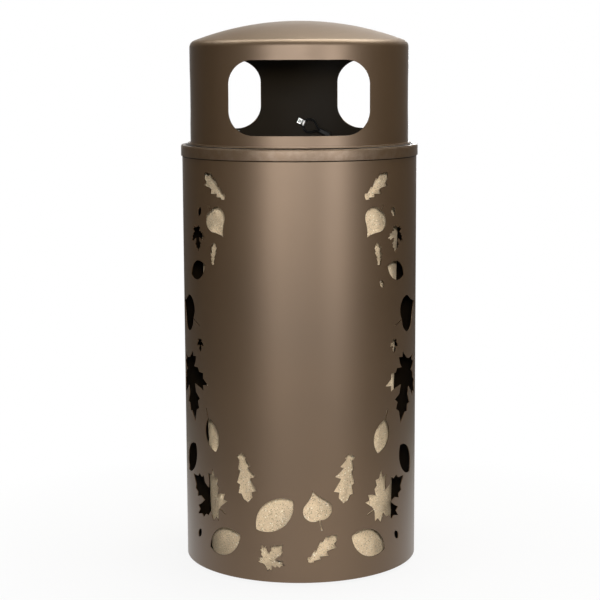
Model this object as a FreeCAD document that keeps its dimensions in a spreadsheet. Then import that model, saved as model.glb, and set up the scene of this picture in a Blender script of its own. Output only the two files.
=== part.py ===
"""Round steel litter bin: leaf-cut shell, domed lid with three mouths, lift-out liner."""

import FreeCAD
import Part
import Sketcher
import math
import os
import re
from typing import NamedTuple

Vector = FreeCAD.Vector
Placement = FreeCAD.Placement
UP = Vector(0, 0, 1)

# Driving dimensions in millimetres and degrees. The front faces -Y and the floor is z = 0.
SIZES = {
    # rolled shell and the hoop round its mouth
    "shell_radius": 235,
    "shell_height": 837,
    "shell_sheet": 1.5,
    "band_height": 20,
    "band_thickness": 2.5,
    "band_chamfer": 0.8,
    # leaf cut-outs
    "leaf_width_share": 0.4255,
    "leaf_height_share": 0.1195,
    "leaf_stem_width": 2.4,
    "leaf_field_angle": -2.7,
    # pressed floor pan
    "pan_depth": 8,
    "pan_sheet": 2,
    "pan_bend": 4,
    "well_clearance": 3,
    "centre_hole": 14,
    "anchor_hole": 11,
    "anchor_inset": 105,
    "drain_hole": 16,
    "drain_inset": 150,
    "floor_hole_count": 4,
    # rubber feet with their screws
    "foot_drop": 5,
    "foot_count": 4,
    "foot_inset": 26,
    "foot_top_radius": 16,
    "foot_base_radius": 13,
    "foot_recess_radius": 7.5,
    "foot_recess_depth": 5,
    "screw_radius": 3,
    "screw_head_radius": 6,
    "screw_head_height": 3.3,
    "screw_clearance": 0.3,
    "screw_end": 2,
    "washer_radius": 7,
    "washer_thickness": 1.6,
    "nut_flats": 10,
    "nut_height": 5,
    "thread_clearance": 0.05,
    # lift-out liner
    "liner_drop": 25,
    "liner_gap": 33.5,
    "liner_taper": 15,
    "liner_wall": 4,
    "liner_corner": 10,
    "liner_kick": 12,
    "liner_ring": 14,
    "rim_height": 16,
    "rim_overhang": 4,
    "rim_round": 3,
    "grip_width": 110,
    "grip_height": 30,
    "grip_drop": 40,
    # lid
    "lid_step": 17,
    "lid_sheet": 1.5,
    "lid_height": 245,
    "crown_radius": 590,
    "shoulder_radius": 15,
    "dome_skirt": 8,
    "ledge_inset": 1,
    "ledge_seat": 8,
    "ledge_rise": 4.5,
    "spigot_depth": 30,
    "spigot_thickness": 2,
    "spigot_clearance": 2,
    "mouth_count": 3,
    "mouth_sill": 26,
    "mouth_head": 17,
    "mouth_half_angle": 38,
    "mouth_corner": 46,
    # tether between lid and shell
    "cable_radius": 2.5,
    "cable_gap": 0.4,
    "loop_radius": 14,
    "loop_neck_radius": 15,
    "loop_taper_angle": 40,
    "loop_lean_angle": 7.5,
    "strand_gap": 0.2,
    "ferrule_length": 24,
    "ferrule_wall": 1,
    "ferrule_ease": 0.8,
    "clip_width": 11,
    "clip_sheet": 1.2,
    "clip_foot": 9,
    "rivet_radius": 2,
    "rivet_clearance": 0.1,
    "rivet_head_radius": 3.8,
    "rivet_head_height": 1.8,
    "rivet_core_radius": 1.3,
    "rivet_core_depth": 1.4,
    "lid_clip_height": 35,
    "lid_clip_bearing_angle": 177.4,
    "lid_clip_lean_angle": 65,
    "shell_clip_drop": 72,
    "shell_clip_bearing_angle": 204,
    "shell_clip_lean_angle": 0,
}

# Named expressions of the driving dimensions, shared by every piece that they fit together.
TIES = {
    "shell_bore": "shell_radius - shell_sheet",
    "shell_top": "foot_drop + shell_height",
    "band_radius": "shell_radius + band_thickness",
    "leaf_length": "min(leaf_width_share * shell_radius; leaf_height_share * shell_height)",
    "pan_top": "foot_drop + pan_depth",
    "pan_under": "pan_top - pan_sheet",
    "well_depth": "pan_depth - pan_sheet",
    "well_radius": "liner_base_radius + well_depth * tan(liner_draft) + well_clearance",
    "anchor_radius": "shell_radius - anchor_inset",
    "drain_radius": "shell_radius - drain_inset",
    "foot_circle": "shell_bore - foot_inset",
    "screw_hole": "screw_radius + screw_clearance",
    "liner_top_radius": "shell_bore - liner_gap",
    "liner_base_radius": "liner_top_radius - liner_taper",
    "liner_draft": "atan(liner_taper / (rim_under - liner_seat))",
    "liner_lead": "liner_corner * tan(45 deg - liner_draft / 2)",
    "liner_heel": "liner_base_radius - liner_lead",
    "liner_turn": "liner_corner - liner_wall",
    "liner_seat": "foot_drop + pan_sheet",
    "liner_floor": "liner_seat + liner_kick",
    "ring_radius": "liner_heel - liner_ring",
    "liner_top": "shell_top - liner_drop",
    "rim_under": "liner_top - rim_height",
    "rim_radius": "liner_top_radius + rim_overhang",
    "rim_bore": "liner_top_radius - liner_wall / cos(liner_draft) + rim_height * tan(liner_draft)",
    "lid_radius": "shell_radius - lid_step",
    "lid_bore": "lid_radius - lid_sheet",
    "ledge_radius": "band_radius - ledge_inset",
    "ledge_bend": "ledge_radius - ledge_seat",
    "ledge_top": "shell_top + lid_sheet + ledge_rise",
    "dome_top": "shell_top + lid_height",
    "dome_centre": "dome_top - crown_radius",
    "shoulder_offset": "lid_radius - shoulder_radius",
    "shoulder_rise": "sqrt((crown_radius - shoulder_radius) ^ 2 - shoulder_offset ^ 2)",
    "shoulder_height": "dome_centre + shoulder_rise",
    "dome_foot": "shoulder_height - dome_skirt",
    "spigot_radius": "shell_bore - spigot_clearance",
    "spigot_bore": "spigot_radius - spigot_thickness",
    "mouth_half": "lid_radius * sin(mouth_half_angle)",
    "mouth_low": "shell_top + mouth_sill",
    "mouth_top": "dome_foot - mouth_head",
    "loop_sag": "loop_radius - sqrt(loop_radius ^ 2 - (clip_width / 2) ^ 2)",
    "clip_bore": "cable_radius + loop_sag + cable_gap",
    "clip_round": "clip_bore + clip_sheet",
    "clip_fold": "2 * clip_sheet",
    "clip_root": "2 * sqrt(clip_sheet * clip_bore)",
    "clip_reach": "clip_round + clip_foot",
    "rivet_offset": "clip_round + clip_foot / 2",
    "rivet_hole": "rivet_radius + rivet_clearance",
    "strand_offset": "cable_radius + strand_gap / 2",
    "neck_drop": "loop_neck_radius * (1 - cos(loop_taper_angle))",
    "loop_run": (
        "(loop_radius * cos(loop_taper_angle) - neck_drop - strand_offset) / sin(loop_taper_angle)"
    ),
    "loop_length": (
        "loop_radius * (1 + sin(loop_taper_angle)) + loop_run * cos(loop_taper_angle)"
        " + loop_neck_radius * sin(loop_taper_angle)"
    ),
    "ferrule_half_width": "strand_offset + cable_radius + ferrule_wall",
    "ferrule_half_depth": "cable_radius + ferrule_wall",
}

# The tether's route between its ferrules, chosen by hand: bearing from the front in degrees,
# distance in from the shell's inner face, and drop below the shell's top edge.
CABLE_ROUTE = (
    (152.6, 20.0, 30),
    (151.9, 17.0, 62),
    (154.0, 15.6, 98),
    (158.6, 15.2, 133),
    (165.6, 15.2, 163),
    (174.5, 15.5, 184),
    (184.0, 15.4, 193),
    (192.7, 15.6, 191),
    (199.6, 16.4, 180),
)
CABLE_LEAD = 24
CABLE_TAIL = 22
TURN_SHARE = 0.45


class Leaf(NamedTuple):
    """One leaf cut-out, its mirror image where it has two sides, and its repeat at the back."""

    kind: str
    bearing: float
    height: float
    size: float
    turn: float
    stem: float = 0.0
    sides: tuple = (1, -1)
    at_back: bool = True


# Bearing in degrees from the middle of the front, height as a share of the shell's height,
# size as a share of leaf_length, turn of the tip clockwise from upright in degrees.
LEAVES = (
    Leaf("oak", 41.8, 0.916, 0.74, 50),
    Leaf("aspen", 39.9, 0.829, 0.59, 214, 0.22),
    Leaf("beech", 53.2, 0.854, 0.21, -23, at_back=False),
    Leaf("maple", 55.5, 0.787, 0.50, 190, 0.14, at_back=False),
    Leaf("oak", 42.6, 0.760, 0.45, -8),
    Leaf("beech", 56.0, 0.716, 0.62, -68, at_back=False),
    Leaf("beech", 45.0, 0.690, 0.17, -30, sides=(1,)),
    Leaf("aspen", 70.0, 0.614, 0.78, 69, 0.36, at_back=False),
    Leaf("maple", 54.3, 0.537, 0.27, 185, at_back=False),
    Leaf("maple", 64.3, 0.424, 1.30, 195, at_back=False),
    Leaf("beech", 45.2, 0.330, 0.68, 198, 0.30),
    Leaf("beech", 65.7, 0.258, 0.80, 143, at_back=False),
    Leaf("maple", 51.9, 0.189, 1.08, 62, 0.16, at_back=False),
    Leaf("beech", 37.5, 0.081, 0.90, -64),
    Leaf("beech", 56.8, 0.081, 0.22, -35, at_back=False),
    Leaf("oak", 25.0, 0.243, 0.98, 188),
    Leaf("beech", -10.0, 0.160, 0.96, -130, sides=(1,)),
    Leaf("aspen", 10.1, 0.184, 0.60, -12, 0.36, sides=(1,)),
    Leaf("maple", -10.5, 0.066, 0.57, 40, sides=(1,)),
    Leaf("oak", 13.1, 0.080, 0.76, 47, sides=(1,)),
)

# Edges of a leaf of unit length from its base to its tip: the right-hand one, and the left-hand
# one where it differs. A step is an end point, or a middle and an end point for an arc.
LEAF_EDGES = {
    "beech": ((((0.29, 0.42), (0.0, 1.0)),),),
    "aspen": ((((0.46, 0.22), (0.34, 0.60)), ((0.13, 0.80), (0.0, 1.0))),),
    "oak": (
        (
            ((0.04, 0.02),), ((0.10, 0.10),), ((0.06, 0.12),), ((0.17, 0.27),), ((0.09, 0.30),),
            ((0.25, 0.48),), ((0.12, 0.52),), ((0.24, 0.78),), ((0.12, 0.79),), ((0.12, 0.90),),
            ((0.0, 1.0),),
        ),
        (
            ((0.09, 0.04),), ((0.12, 0.08),), ((0.07, 0.14),), ((0.13, 0.33),), ((0.09, 0.36),),
            ((0.19, 0.59),), ((0.13, 0.63),), ((0.19, 0.80),), ((0.12, 0.83),), ((0.09, 0.93),),
            ((0.0, 1.0),),
        ),
    ),
    "maple": (
        (
            ((0.06, -0.01),), ((0.23, -0.09),), ((0.21, 0.0),), ((0.32, 0.02),), ((0.26, 0.11),),
            ((0.20, 0.16),), ((0.33, 0.19),), ((0.35, 0.26),), ((0.46, 0.29),), ((0.44, 0.37),),
            ((0.54, 0.49),), ((0.41, 0.47),), ((0.39, 0.56),), ((0.28, 0.48),), ((0.15, 0.42),),
            ((0.16, 0.56),), ((0.26, 0.66),), ((0.18, 0.69),), ((0.19, 0.80),), ((0.10, 0.82),),
            ((0.0, 1.0),),
        ),
    ),
}
BACK_BEARING = 180
# Where the leaf cutters start and end, as shares of the shell's radius.
LEAF_CUT = (1.03, 0.88)

doc = FreeCAD.newDocument("litter_bin")
sheet = doc.addObject("Spreadsheet::Sheet", "sizes")
for row, (alias, size) in enumerate(SIZES.items(), start=1):
    sheet.set(f"A{row}", alias)
    sheet.set(f"B{row}", str(size))
    sheet.setAlias(f"B{row}", alias)
doc.recompute()


def tie(text):
    """An expression in the words of SIZES and TIES, written out as references to the sheet."""

    def swap(match):
        word = match.group(0)
        if word in SIZES:
            return "sizes." + word
        if word in TIES:
            return "(" + tie(TIES[word]) + ")"
        return word

    return re.sub(r"[a-z_]+", swap, text)


def value(text):
    """The number that an expression has now."""
    return float(sheet.evalExpression(tie(text)))


def bind(obj, **expressions):
    """Tie properties of an object to the sheet."""
    for name, text in expressions.items():
        obj.setExpression(name, tie(text))
    return obj


def new_body(name):
    """An empty body that is also labelled with its name."""
    body = doc.addObject("PartDesign::Body", name)
    body.Label = name
    return body


def sketch_on(body, role):
    """A sketch on one of the body's own origin planes."""
    plane = next(f for f in body.Origin.OriginFeatures if f.Role == role)
    sketch = body.newObject("Sketcher::SketchObject", "profile")
    sketch.AttachmentSupport = (plane, [""])
    sketch.MapMode = "FlatFace"
    return sketch


def axis_of(body, role):
    """One of the body's own origin axes."""
    return next(f for f in body.Origin.OriginFeatures if f.Role == role)


def pin(sketch, kind, edge, end, text):
    """Hold one end of an edge at a tied distance from the sketch's origin along one axis."""
    if text == "0":
        on_axis = -2 if kind == "DistanceX" else -1
        sketch.addConstraint(Sketcher.Constraint("PointOnObject", edge, end, on_axis))
        return
    index = sketch.addConstraint(Sketcher.Constraint(kind, -1, 1, edge, end, value(text)))
    sketch.setExpression(f"Constraints[{index}]", tie(text))


def trace(sketch, corners):
    """Draw a closed outline through corners, each a pair of expressions.

    A third expression makes the edge that leaves the corner an arc of that radius, or a half
    circle for the word half. Its centre lies on the left of the way that the outline runs, or
    on the right after a minus sign.
    """
    points = [Vector(value(corner[0]), value(corner[1]), 0) for corner in corners]
    ends = []
    for i, corner in enumerate(corners):
        start, stop = points[i], points[(i + 1) % len(points)]
        if len(corner) == 2:
            ends.append((sketch.addGeometry(Part.LineSegment(start, stop)), 1, 2))
            continue
        side = -1 if corner[2].startswith("-") else 1
        size = corner[2].lstrip("-")
        chord = stop - start
        radius = chord.Length / 2 if size == "half" else value(size)
        left = Vector(-chord.y, chord.x, 0).normalize() * side
        offset = math.sqrt(max(radius**2 - (chord.Length / 2) ** 2, 0))
        middle = (start + stop) / 2 - left * (radius - offset)
        edge = sketch.addGeometry(Part.Arc(start, middle, stop))
        ends.append((edge, 1, 2) if side > 0 else (edge, 2, 1))
        if size == "half":
            sketch.addConstraint(Sketcher.Constraint("Symmetric", edge, 1, edge, 2, edge, 3))
            continue
        index = sketch.addConstraint(Sketcher.Constraint("Radius", edge, radius))
        sketch.setExpression(f"Constraints[{index}]", tie(size))
    for i, corner in enumerate(corners):
        edge, first, _ = ends[i]
        before, _, last = ends[i - 1]
        sketch.addConstraint(Sketcher.Constraint("Coincident", before, last, edge, first))
        pin(sketch, "DistanceX", edge, first, corner[0])
        pin(sketch, "DistanceY", edge, first, corner[1])


def circle(sketch, across, up, radius):
    """Draw a circle at a tied place with a tied radius."""
    middle = Vector(value(across), value(up), 0)
    edge = sketch.addGeometry(Part.Circle(middle, UP, value(radius)))
    pin(sketch, "DistanceX", edge, 3, across)
    pin(sketch, "DistanceY", edge, 3, up)
    index = sketch.addConstraint(Sketcher.Constraint("Radius", edge, value(radius)))
    sketch.setExpression(f"Constraints[{index}]", tie(radius))


def turned(body, corners):
    """Revolve an outline, given as radius and height, round the body's upright axis."""
    sketch = sketch_on(body, "XZ_Plane")
    trace(sketch, corners)
    solid = body.newObject("PartDesign::Revolution", "turned")
    solid.Profile = sketch
    solid.ReferenceAxis = (sketch, ["V_Axis"])
    solid.Angle = 360
    return solid


def hoop(name, bore, radius, low, high):
    """A plain ring of rectangular section."""
    body = new_body(name)
    turned(body, [(bore, low), (radius, low), (radius, high), (bore, high)])
    return body


def polar(body, feature, count):
    """Repeat a feature evenly round the body's upright axis."""
    pattern = body.newObject("PartDesign::PolarPattern", "round")
    pattern.Originals = [feature]
    pattern.Axis = (axis_of(body, "Z_Axis"), [""])
    pattern.Angle = 360
    bind(pattern, Occurrences=count)
    body.Tip = pattern
    return pattern


def ring_copies(name, master, count):
    """A node of equal solids spaced evenly round the upright axis, from one placed master."""
    node = doc.addObject("Part::Feature", name)
    step = 360 / count
    solids = [master.Shape.rotated(Vector(), UP, step * i) for i in range(count)]
    node.Shape = Part.makeCompound(solids)
    return node


def cut(name, base, tool):
    """A node that is one object less another."""
    node = doc.addObject("Part::Cut", name)
    node.Base = base
    node.Tool = tool
    return node


def leaf_face(leaf, side):
    """Flat outline of one leaf about its middle, across X and up Z, mirrored for side -1."""
    length = leaf.size * value("leaf_length")
    half = value("leaf_stem_width") / 2 / length if leaf.stem else 0.0

    def place(across, along):
        return Vector(side * across * length, 0, (along - 0.5) * length)

    edges = []
    outlines = LEAF_EDGES[leaf.kind]
    for hand, steps in ((1, outlines[0]), (-1, outlines[-1])):
        last = (half, 0.0)
        for step in steps:
            spots = [place(hand * across, along) for across, along in (last,) + step]
            curve = Part.Arc(*spots) if len(spots) == 3 else Part.LineSegment(*spots)
            edges.append(curve.toShape())
            last = step[-1]
    if leaf.stem:
        corners = [(half, 0.0), (half, -leaf.stem), (-half, -leaf.stem), (-half, 0.0)]
        for first, second in zip(corners, corners[1:]):
            edges.append(Part.LineSegment(place(*first), place(*second)).toShape())
    face = Part.Face(Part.Wire(Part.__sortEdges__(edges)))
    return face.rotated(Vector(), Vector(0, 1, 0), side * leaf.turn)


def leaf_cutters():
    """Prisms that cut the leaves through the front and the back of the shell."""
    start, stop = (share * value("shell_radius") for share in LEAF_CUT)
    prisms = []
    for leaf in LEAVES:
        height = value("foot_drop") + leaf.height * value("shell_height")
        for side in leaf.sides:
            face = leaf_face(leaf, side)
            face.translate(Vector(0, -start, height))
            prism = face.extrude(Vector(0, start - stop, 0))
            bearing = value("leaf_field_angle") + side * leaf.bearing
            prisms.append(prism.rotated(Vector(), UP, bearing))
            if leaf.at_back:
                prisms.append(prism.rotated(Vector(), UP, bearing + BACK_BEARING))
    return prisms


def wall_frame(bearing, radius, height, turn):
    """Placement on the inside of an upright round wall: Z outward, X down, Y along the cable.

    The turn leans X away from straight down, to the right for someone looking outward at it.
    """
    around = math.radians(bearing)
    lean = math.radians(turn)
    outward = Vector(math.sin(around), -math.cos(around), 0)
    aside = outward.cross(-UP)
    down = -UP * math.cos(lean) - aside * math.sin(lean)
    rotation = FreeCAD.Rotation(down, outward.cross(down), outward, "ZXY")
    return Placement(outward * radius + UP * height, rotation)


def rivet_drill(frame):
    """Drill for a clip's rivet, through the wall that the clip sits on."""
    reach = value("rivet_head_radius")
    start = Vector(-value("rivet_offset"), 0, -reach)
    drill = Part.makeCylinder(value("rivet_hole"), 2 * reach, start, UP)
    drill.Placement = frame
    return drill


def drill_tool(name, shapes):
    """A tool object that holds several cutting solids."""
    tool = doc.addObject("Part::Feature", name)
    tool.Shape = Part.makeCompound(shapes)
    return tool


def outer_shell(frame):
    """Rolled sheet with the leaves and the clip's rivet hole cut through it."""
    blank = hoop("shell_blank", "shell_bore", "shell_radius", "foot_drop", "shell_top")
    cutters = drill_tool("shell_cutters", leaf_cutters() + [rivet_drill(frame)])
    return cut("outer_shell", blank, cutters)


def top_band():
    """Flat-bar hoop round the shell's mouth, with its outer corners eased."""
    body = new_body("top_band")
    low, ease = "shell_top - band_height", "band_chamfer"
    turned(
        body,
        [
            ("shell_radius", low),
            (f"band_radius - {ease}", low),
            ("band_radius", f"{low} + {ease}"),
            ("band_radius", f"shell_top - {ease}"),
            (f"band_radius - {ease}", "shell_top"),
            ("shell_radius", "shell_top"),
        ],
    )
    return body


def floor_hole(body, across, up, radius):
    """One round hole up through the floor."""
    sketch = sketch_on(body, "XY_Plane")
    circle(sketch, across, up, radius)
    hole = body.newObject("PartDesign::Pocket", "hole")
    hole.Profile = sketch
    hole.Type = "ThroughAll"
    hole.Reversed = True
    body.Tip = hole
    return hole


def base_pan():
    """Pressed floor with a well for the liner, a down-turned flange and its holes."""
    body = new_body("base_pan")
    well_end = "well_radius - well_depth"
    flat_end = "shell_bore - pan_bend"
    lip = "shell_bore - pan_sheet"
    turned(
        body,
        [
            ("0", "foot_drop"),
            (well_end, "foot_drop"),
            ("well_radius", "pan_under"),
            (flat_end, "pan_under"),
            (lip, "pan_top - pan_bend"),
            (lip, "foot_drop"),
            ("shell_bore", "foot_drop"),
            ("shell_bore", "pan_top - pan_bend"),
            (flat_end, "pan_top"),
            ("well_radius", "pan_top"),
            (well_end, "liner_seat"),
            ("0", "liner_seat"),
        ],
    )
    anchor = "anchor_radius * sqrt(0.5)"
    foot = "foot_circle * sqrt(0.5)"
    floor_hole(body, "0", "0", "centre_hole / 2")
    polar(body, floor_hole(body, anchor, anchor, "anchor_hole / 2"), "floor_hole_count")
    polar(body, floor_hole(body, foot, foot, "screw_hole"), "foot_count")
    polar(body, floor_hole(body, "drain_radius", "0", "drain_hole / 2"), "floor_hole_count")
    return body


def foot_master(name, corners):
    """A turned piece at the first foot."""
    body = new_body(name)
    turned(body, corners)
    diagonal = tie("foot_circle * sqrt(0.5)")
    body.setExpression("Placement.Base.x", diagonal)
    body.setExpression("Placement.Base.y", diagonal)
    return body


def foot_pieces():
    """Rubber feet, and the screws, washers and nuts that hold them to the pan."""
    roof = "foot_recess_depth"
    nut_low = "pan_top + washer_thickness"
    foot = foot_master(
        "foot",
        [
            ("foot_recess_radius", "0"),
            ("foot_base_radius", "0"),
            ("foot_top_radius", "pan_under"),
            ("screw_hole", "pan_under"),
            ("screw_hole", roof),
            ("foot_recess_radius", roof),
        ],
    )
    screw = foot_master(
        "screw",
        [
            ("0", f"{roof} - screw_head_height"),
            ("screw_head_radius", f"{roof} - screw_head_height"),
            ("screw_head_radius", roof),
            ("screw_radius", roof),
            ("screw_radius", f"{nut_low} + nut_height + screw_end"),
            ("0", f"{nut_low} + nut_height + screw_end"),
        ],
    )
    washer = foot_master(
        "washer",
        [
            ("screw_hole", "pan_top"),
            ("washer_radius", "pan_top"),
            ("washer_radius", nut_low),
            ("screw_hole", nut_low),
        ],
    )
    hexagon = doc.addObject("Part::Prism", "nut_hexagon")
    hexagon.Polygon = 6
    bind(hexagon, Circumradius="nut_flats / 2 / cos(30)", Height="nut_height")
    bore = doc.addObject("Part::Cylinder", "nut_bore")
    bind(bore, Radius="screw_radius + thread_clearance", Height="nut_height")
    for piece in (hexagon, bore):
        for axis in "xy":
            piece.setExpression(f"Placement.Base.{axis}", tie("foot_circle * sqrt(0.5)"))
        piece.setExpression("Placement.Base.z", tie(nut_low))
    nut = cut("nut", hexagon, bore)
    doc.recompute()
    count = round(value("foot_count"))
    groups = {"rubber_feet": foot, "foot_screws": screw, "foot_washers": washer, "foot_nuts": nut}
    return [ring_copies(name, master, count) for name, master in groups.items()]


def liner():
    """Tapered tub on a foot ring, with a thick rim and a hand hole on each side."""
    body = new_body("liner")
    inside = "cos(liner_draft) * liner_turn"
    turned(
        body,
        [
            ("0", "liner_floor"),
            ("ring_radius - liner_kick", "liner_floor"),
            ("ring_radius", "liner_seat"),
            ("liner_heel", "liner_seat", "liner_corner"),
            (
                "liner_heel + liner_corner * cos(liner_draft)",
                "liner_seat + liner_corner - liner_corner * sin(liner_draft)",
            ),
            ("liner_top_radius", "rim_under"),
            ("rim_radius", "rim_under"),
            ("rim_radius", "liner_top - rim_round", "rim_round"),
            ("rim_radius - rim_round", "liner_top"),
            ("rim_bore", "liner_top"),
            (
                f"liner_heel + {inside}",
                "liner_seat + liner_corner - liner_turn * sin(liner_draft)",
                "-liner_turn",
            ),
            ("liner_heel", "liner_seat + liner_wall"),
            ("ring_radius", "liner_seat + liner_wall"),
            ("ring_radius - liner_kick", "liner_floor + liner_wall"),
            ("0", "liner_floor + liner_wall"),
        ],
    )
    sketch = sketch_on(body, "YZ_Plane")
    end = "grip_width / 2 - grip_height / 2"
    low, high = "liner_top - grip_drop - grip_height", "liner_top - grip_drop"
    trace(
        sketch,
        [
            (f"-({end})", low),
            (end, low, "half"),
            (end, high),
            (f"-({end})", high, "half"),
        ],
    )
    grips = body.newObject("PartDesign::Pocket", "grips")
    grips.Profile = sketch
    grips.Type = "ThroughAll"
    grips.Midplane = True
    body.Tip = grips
    return body


def lid_dome():
    """Spun cap: a shallow crown that turns down through a tight shoulder into a short skirt."""
    body = new_body("lid_dome")
    touch = "crown_radius / (crown_radius - shoulder_radius)"
    inner_touch = "(crown_radius - lid_sheet) / (crown_radius - shoulder_radius)"
    turned(
        body,
        [
            ("0", "dome_top - lid_sheet"),
            ("0", "dome_top", "-crown_radius"),
            (
                f"shoulder_offset * {touch}",
                f"dome_centre + shoulder_rise * {touch}",
                "-shoulder_radius",
            ),
            ("lid_radius", "shoulder_height"),
            ("lid_radius", "dome_foot"),
            ("lid_bore", "dome_foot"),
            ("lid_bore", "shoulder_height", "shoulder_radius - lid_sheet"),
            (
                f"shoulder_offset * {inner_touch}",
                f"dome_centre + shoulder_rise * {inner_touch}",
                "crown_radius - lid_sheet",
            ),
        ],
    )
    return body


def lid_wall(frame):
    """Rolled wall of the lid with its round-cornered mouths and the clip's rivet hole."""
    body = hoop("lid_wall_blank", "lid_bore", "lid_radius", "ledge_top", "dome_foot")
    sketch = sketch_on(body, "XZ_Plane")
    side, low, high, ease = "mouth_half", "mouth_low", "mouth_top", "mouth_corner"
    trace(
        sketch,
        [
            (f"-({side} - {ease})", low),
            (f"{side} - {ease}", low, ease),
            (side, f"{low} + {ease}"),
            (side, f"{high} - {ease}", ease),
            (f"{side} - {ease}", high),
            (f"-({side} - {ease})", high, ease),
            (f"-({side})", f"{high} - {ease}"),
            (f"-({side})", f"{low} + {ease}", ease),
        ],
    )
    mouth = body.newObject("PartDesign::Pocket", "mouth")
    mouth.Profile = sketch
    mouth.Type = "ThroughAll"
    mouth.Reversed = True
    body.Tip = mouth
    polar(body, mouth, "mouth_count")
    return cut("lid_wall", body, drill_tool("lid_drill", [rivet_drill(frame)]))


def lid_ledge():
    """Sloped ring that carries the lid's wall and seats on the shell's top edge."""
    body = new_body("lid_ledge")
    turned(
        body,
        [
            ("lid_bore", "shell_top + ledge_rise"),
            ("ledge_bend - lid_sheet / 4", "shell_top"),
            ("ledge_radius", "shell_top"),
            ("ledge_radius", "shell_top + lid_sheet"),
            ("ledge_bend", "shell_top + lid_sheet"),
            ("lid_radius", "ledge_top"),
            ("lid_bore", "ledge_top"),
        ],
    )
    return body


def cable_clip(name, frame, wall_bore):
    """Strap folded round the tether's loop, both its ends in one foot shaped to the wall."""
    body = new_body(name + "_strap")
    sketch = sketch_on(body, "XZ_Plane")
    sunk = "clip_sheet"
    trace(
        sketch,
        [
            ("-clip_reach", sunk),
            ("-clip_reach", "-clip_fold"),
            ("-clip_root", "-clip_fold", "clip_round"),
            ("0", "-2 * clip_round", "half"),
            ("0", "0"),
            ("0", sunk),
        ],
    )
    circle(sketch, "0", "-clip_round", "clip_bore")
    strap = body.newObject("PartDesign::Pad", "strap")
    strap.Profile = sketch
    strap.Midplane = True
    bind(strap, Length="clip_width")
    sketch = sketch_on(body, "XY_Plane")
    circle(sketch, "-rivet_offset", "0", "rivet_hole")
    hole = body.newObject("PartDesign::Pocket", "rivet_hole")
    hole.Profile = sketch
    hole.Type = "ThroughAll"
    hole.Midplane = True
    body.Tip = hole
    body.Placement = frame
    inside = doc.addObject("Part::Cylinder", name + "_wall")
    bind(inside, Radius=wall_bore, Height="dome_top")
    node = doc.addObject("Part::Common", name)
    node.Base = body
    node.Tool = inside
    return node


def clip_rivet(name, frame, wall_sheet):
    """Set rivet with a tapered head on either side of the wall, hollow at its inner end."""
    head, rise, shank = "rivet_head_radius", "rivet_head_height", "rivet_radius"
    core, core_end = "rivet_core_radius", f"-clip_fold - {rise} + rivet_core_depth"
    body = new_body(name)
    turned(
        body,
        [
            ("0", core_end),
            (core, core_end),
            (core, f"-clip_fold - {rise}"),
            (shank, f"-clip_fold - {rise}"),
            (head, "-clip_fold"),
            (shank, "-clip_fold"),
            (shank, wall_sheet),
            (head, wall_sheet),
            (shank, f"{wall_sheet} + {rise}"),
            ("0", f"{wall_sheet} + {rise}"),
        ],
    )
    place = Placement(Vector(-value("rivet_offset"), 0, 0), FreeCAD.Rotation())
    body.Placement = frame * place
    return body


def loop_frame(frame):
    """Placement of a tether's end: at the loop's top, X along the loop, Y across it."""
    top = Placement(Vector(0, 0, -value("clip_round")), FreeCAD.Rotation())
    lean = Placement(Vector(), FreeCAD.Rotation(Vector(0, 1, 0), value("loop_lean_angle")))
    return frame * top * lean


def pipe(name, edges):
    """A round cable along edges that join tangentially, checked against section times length."""
    spine = Part.Wire(edges)
    first = edges[0]
    start = first.valueAt(first.FirstParameter)
    along = first.tangentAt(first.FirstParameter)
    radius = value("cable_radius")
    section = Part.Wire(Part.Circle(start, along, radius).toShape())
    node = doc.addObject("Part::Feature", name)
    node.Shape = spine.makePipeShell([section], True, False)
    wanted = math.pi * radius**2 * spine.Length
    share = node.Shape.Volume / wanted
    print(f"{name}: length {spine.Length:.1f}, volume {share:.4f} of section x length")
    return node


def tether_loop(name, frame):
    """Teardrop of cable that hangs in a clip and ends in its ferrule."""
    loop, neck = value("loop_radius"), value("loop_neck_radius")
    taper, strand = math.radians(value("loop_taper_angle")), value("strand_offset")
    run, end = value("loop_run"), value("loop_length")
    quarter = taper / 2 - math.pi / 4
    bend_across, bend_along = loop * math.cos(taper), loop * (1 + math.sin(taper))
    half = (
        (0, 0),
        (loop * math.cos(quarter), loop * (1 + math.sin(quarter))),
        (bend_across, bend_along),
        (bend_across - run * math.sin(taper), bend_along + run * math.cos(taper)),
        (strand + neck * (1 - math.cos(taper / 2)), end - neck * math.sin(taper / 2)),
        (strand, end),
    )
    edges = []
    for side in (-1, 1):
        spots = [Vector(along, side * across, 0) for across, along in half]
        edges.append(Part.Arc(*spots[:3]).toShape())
        edges.append(Part.LineSegment(*spots[2:4]).toShape())
        edges.append(Part.Arc(*spots[3:]).toShape())
    node = pipe(name, Part.__sortEdges__(edges))
    node.Placement = loop_frame(frame)
    return node


def ferrule(name, frame):
    """Crimped oval sleeve that closes a loop."""
    body = new_body(name)
    sketch = sketch_on(body, "YZ_Plane")
    deep, side = "ferrule_half_depth", "ferrule_half_width - ferrule_half_depth"
    trace(
        sketch,
        [
            (f"-({side})", f"-{deep}"),
            (side, f"-{deep}", "half"),
            (side, deep),
            (f"-({side})", deep, "half"),
        ],
    )
    sleeve = body.newObject("PartDesign::Pad", "sleeve")
    sleeve.Profile = sketch
    bind(sleeve, Length="ferrule_length")
    doc.recompute()
    eased = body.newObject("PartDesign::Chamfer", "eased")
    eased.Base = (sleeve, ["Face5", "Face6"])
    bind(eased, Size="ferrule_ease")
    body.Tip = eased
    along = Placement(Vector(value("loop_length"), 0, 0), FreeCAD.Rotation())
    body.Placement = loop_frame(frame) * along
    return body


def route_point(bearing, inset, drop):
    """A point of the tether's route from its place against the shell."""
    around = math.radians(bearing)
    radius = value("shell_bore") - inset
    return Vector(radius * math.sin(around), -radius * math.cos(around), value("shell_top") - drop)


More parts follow.
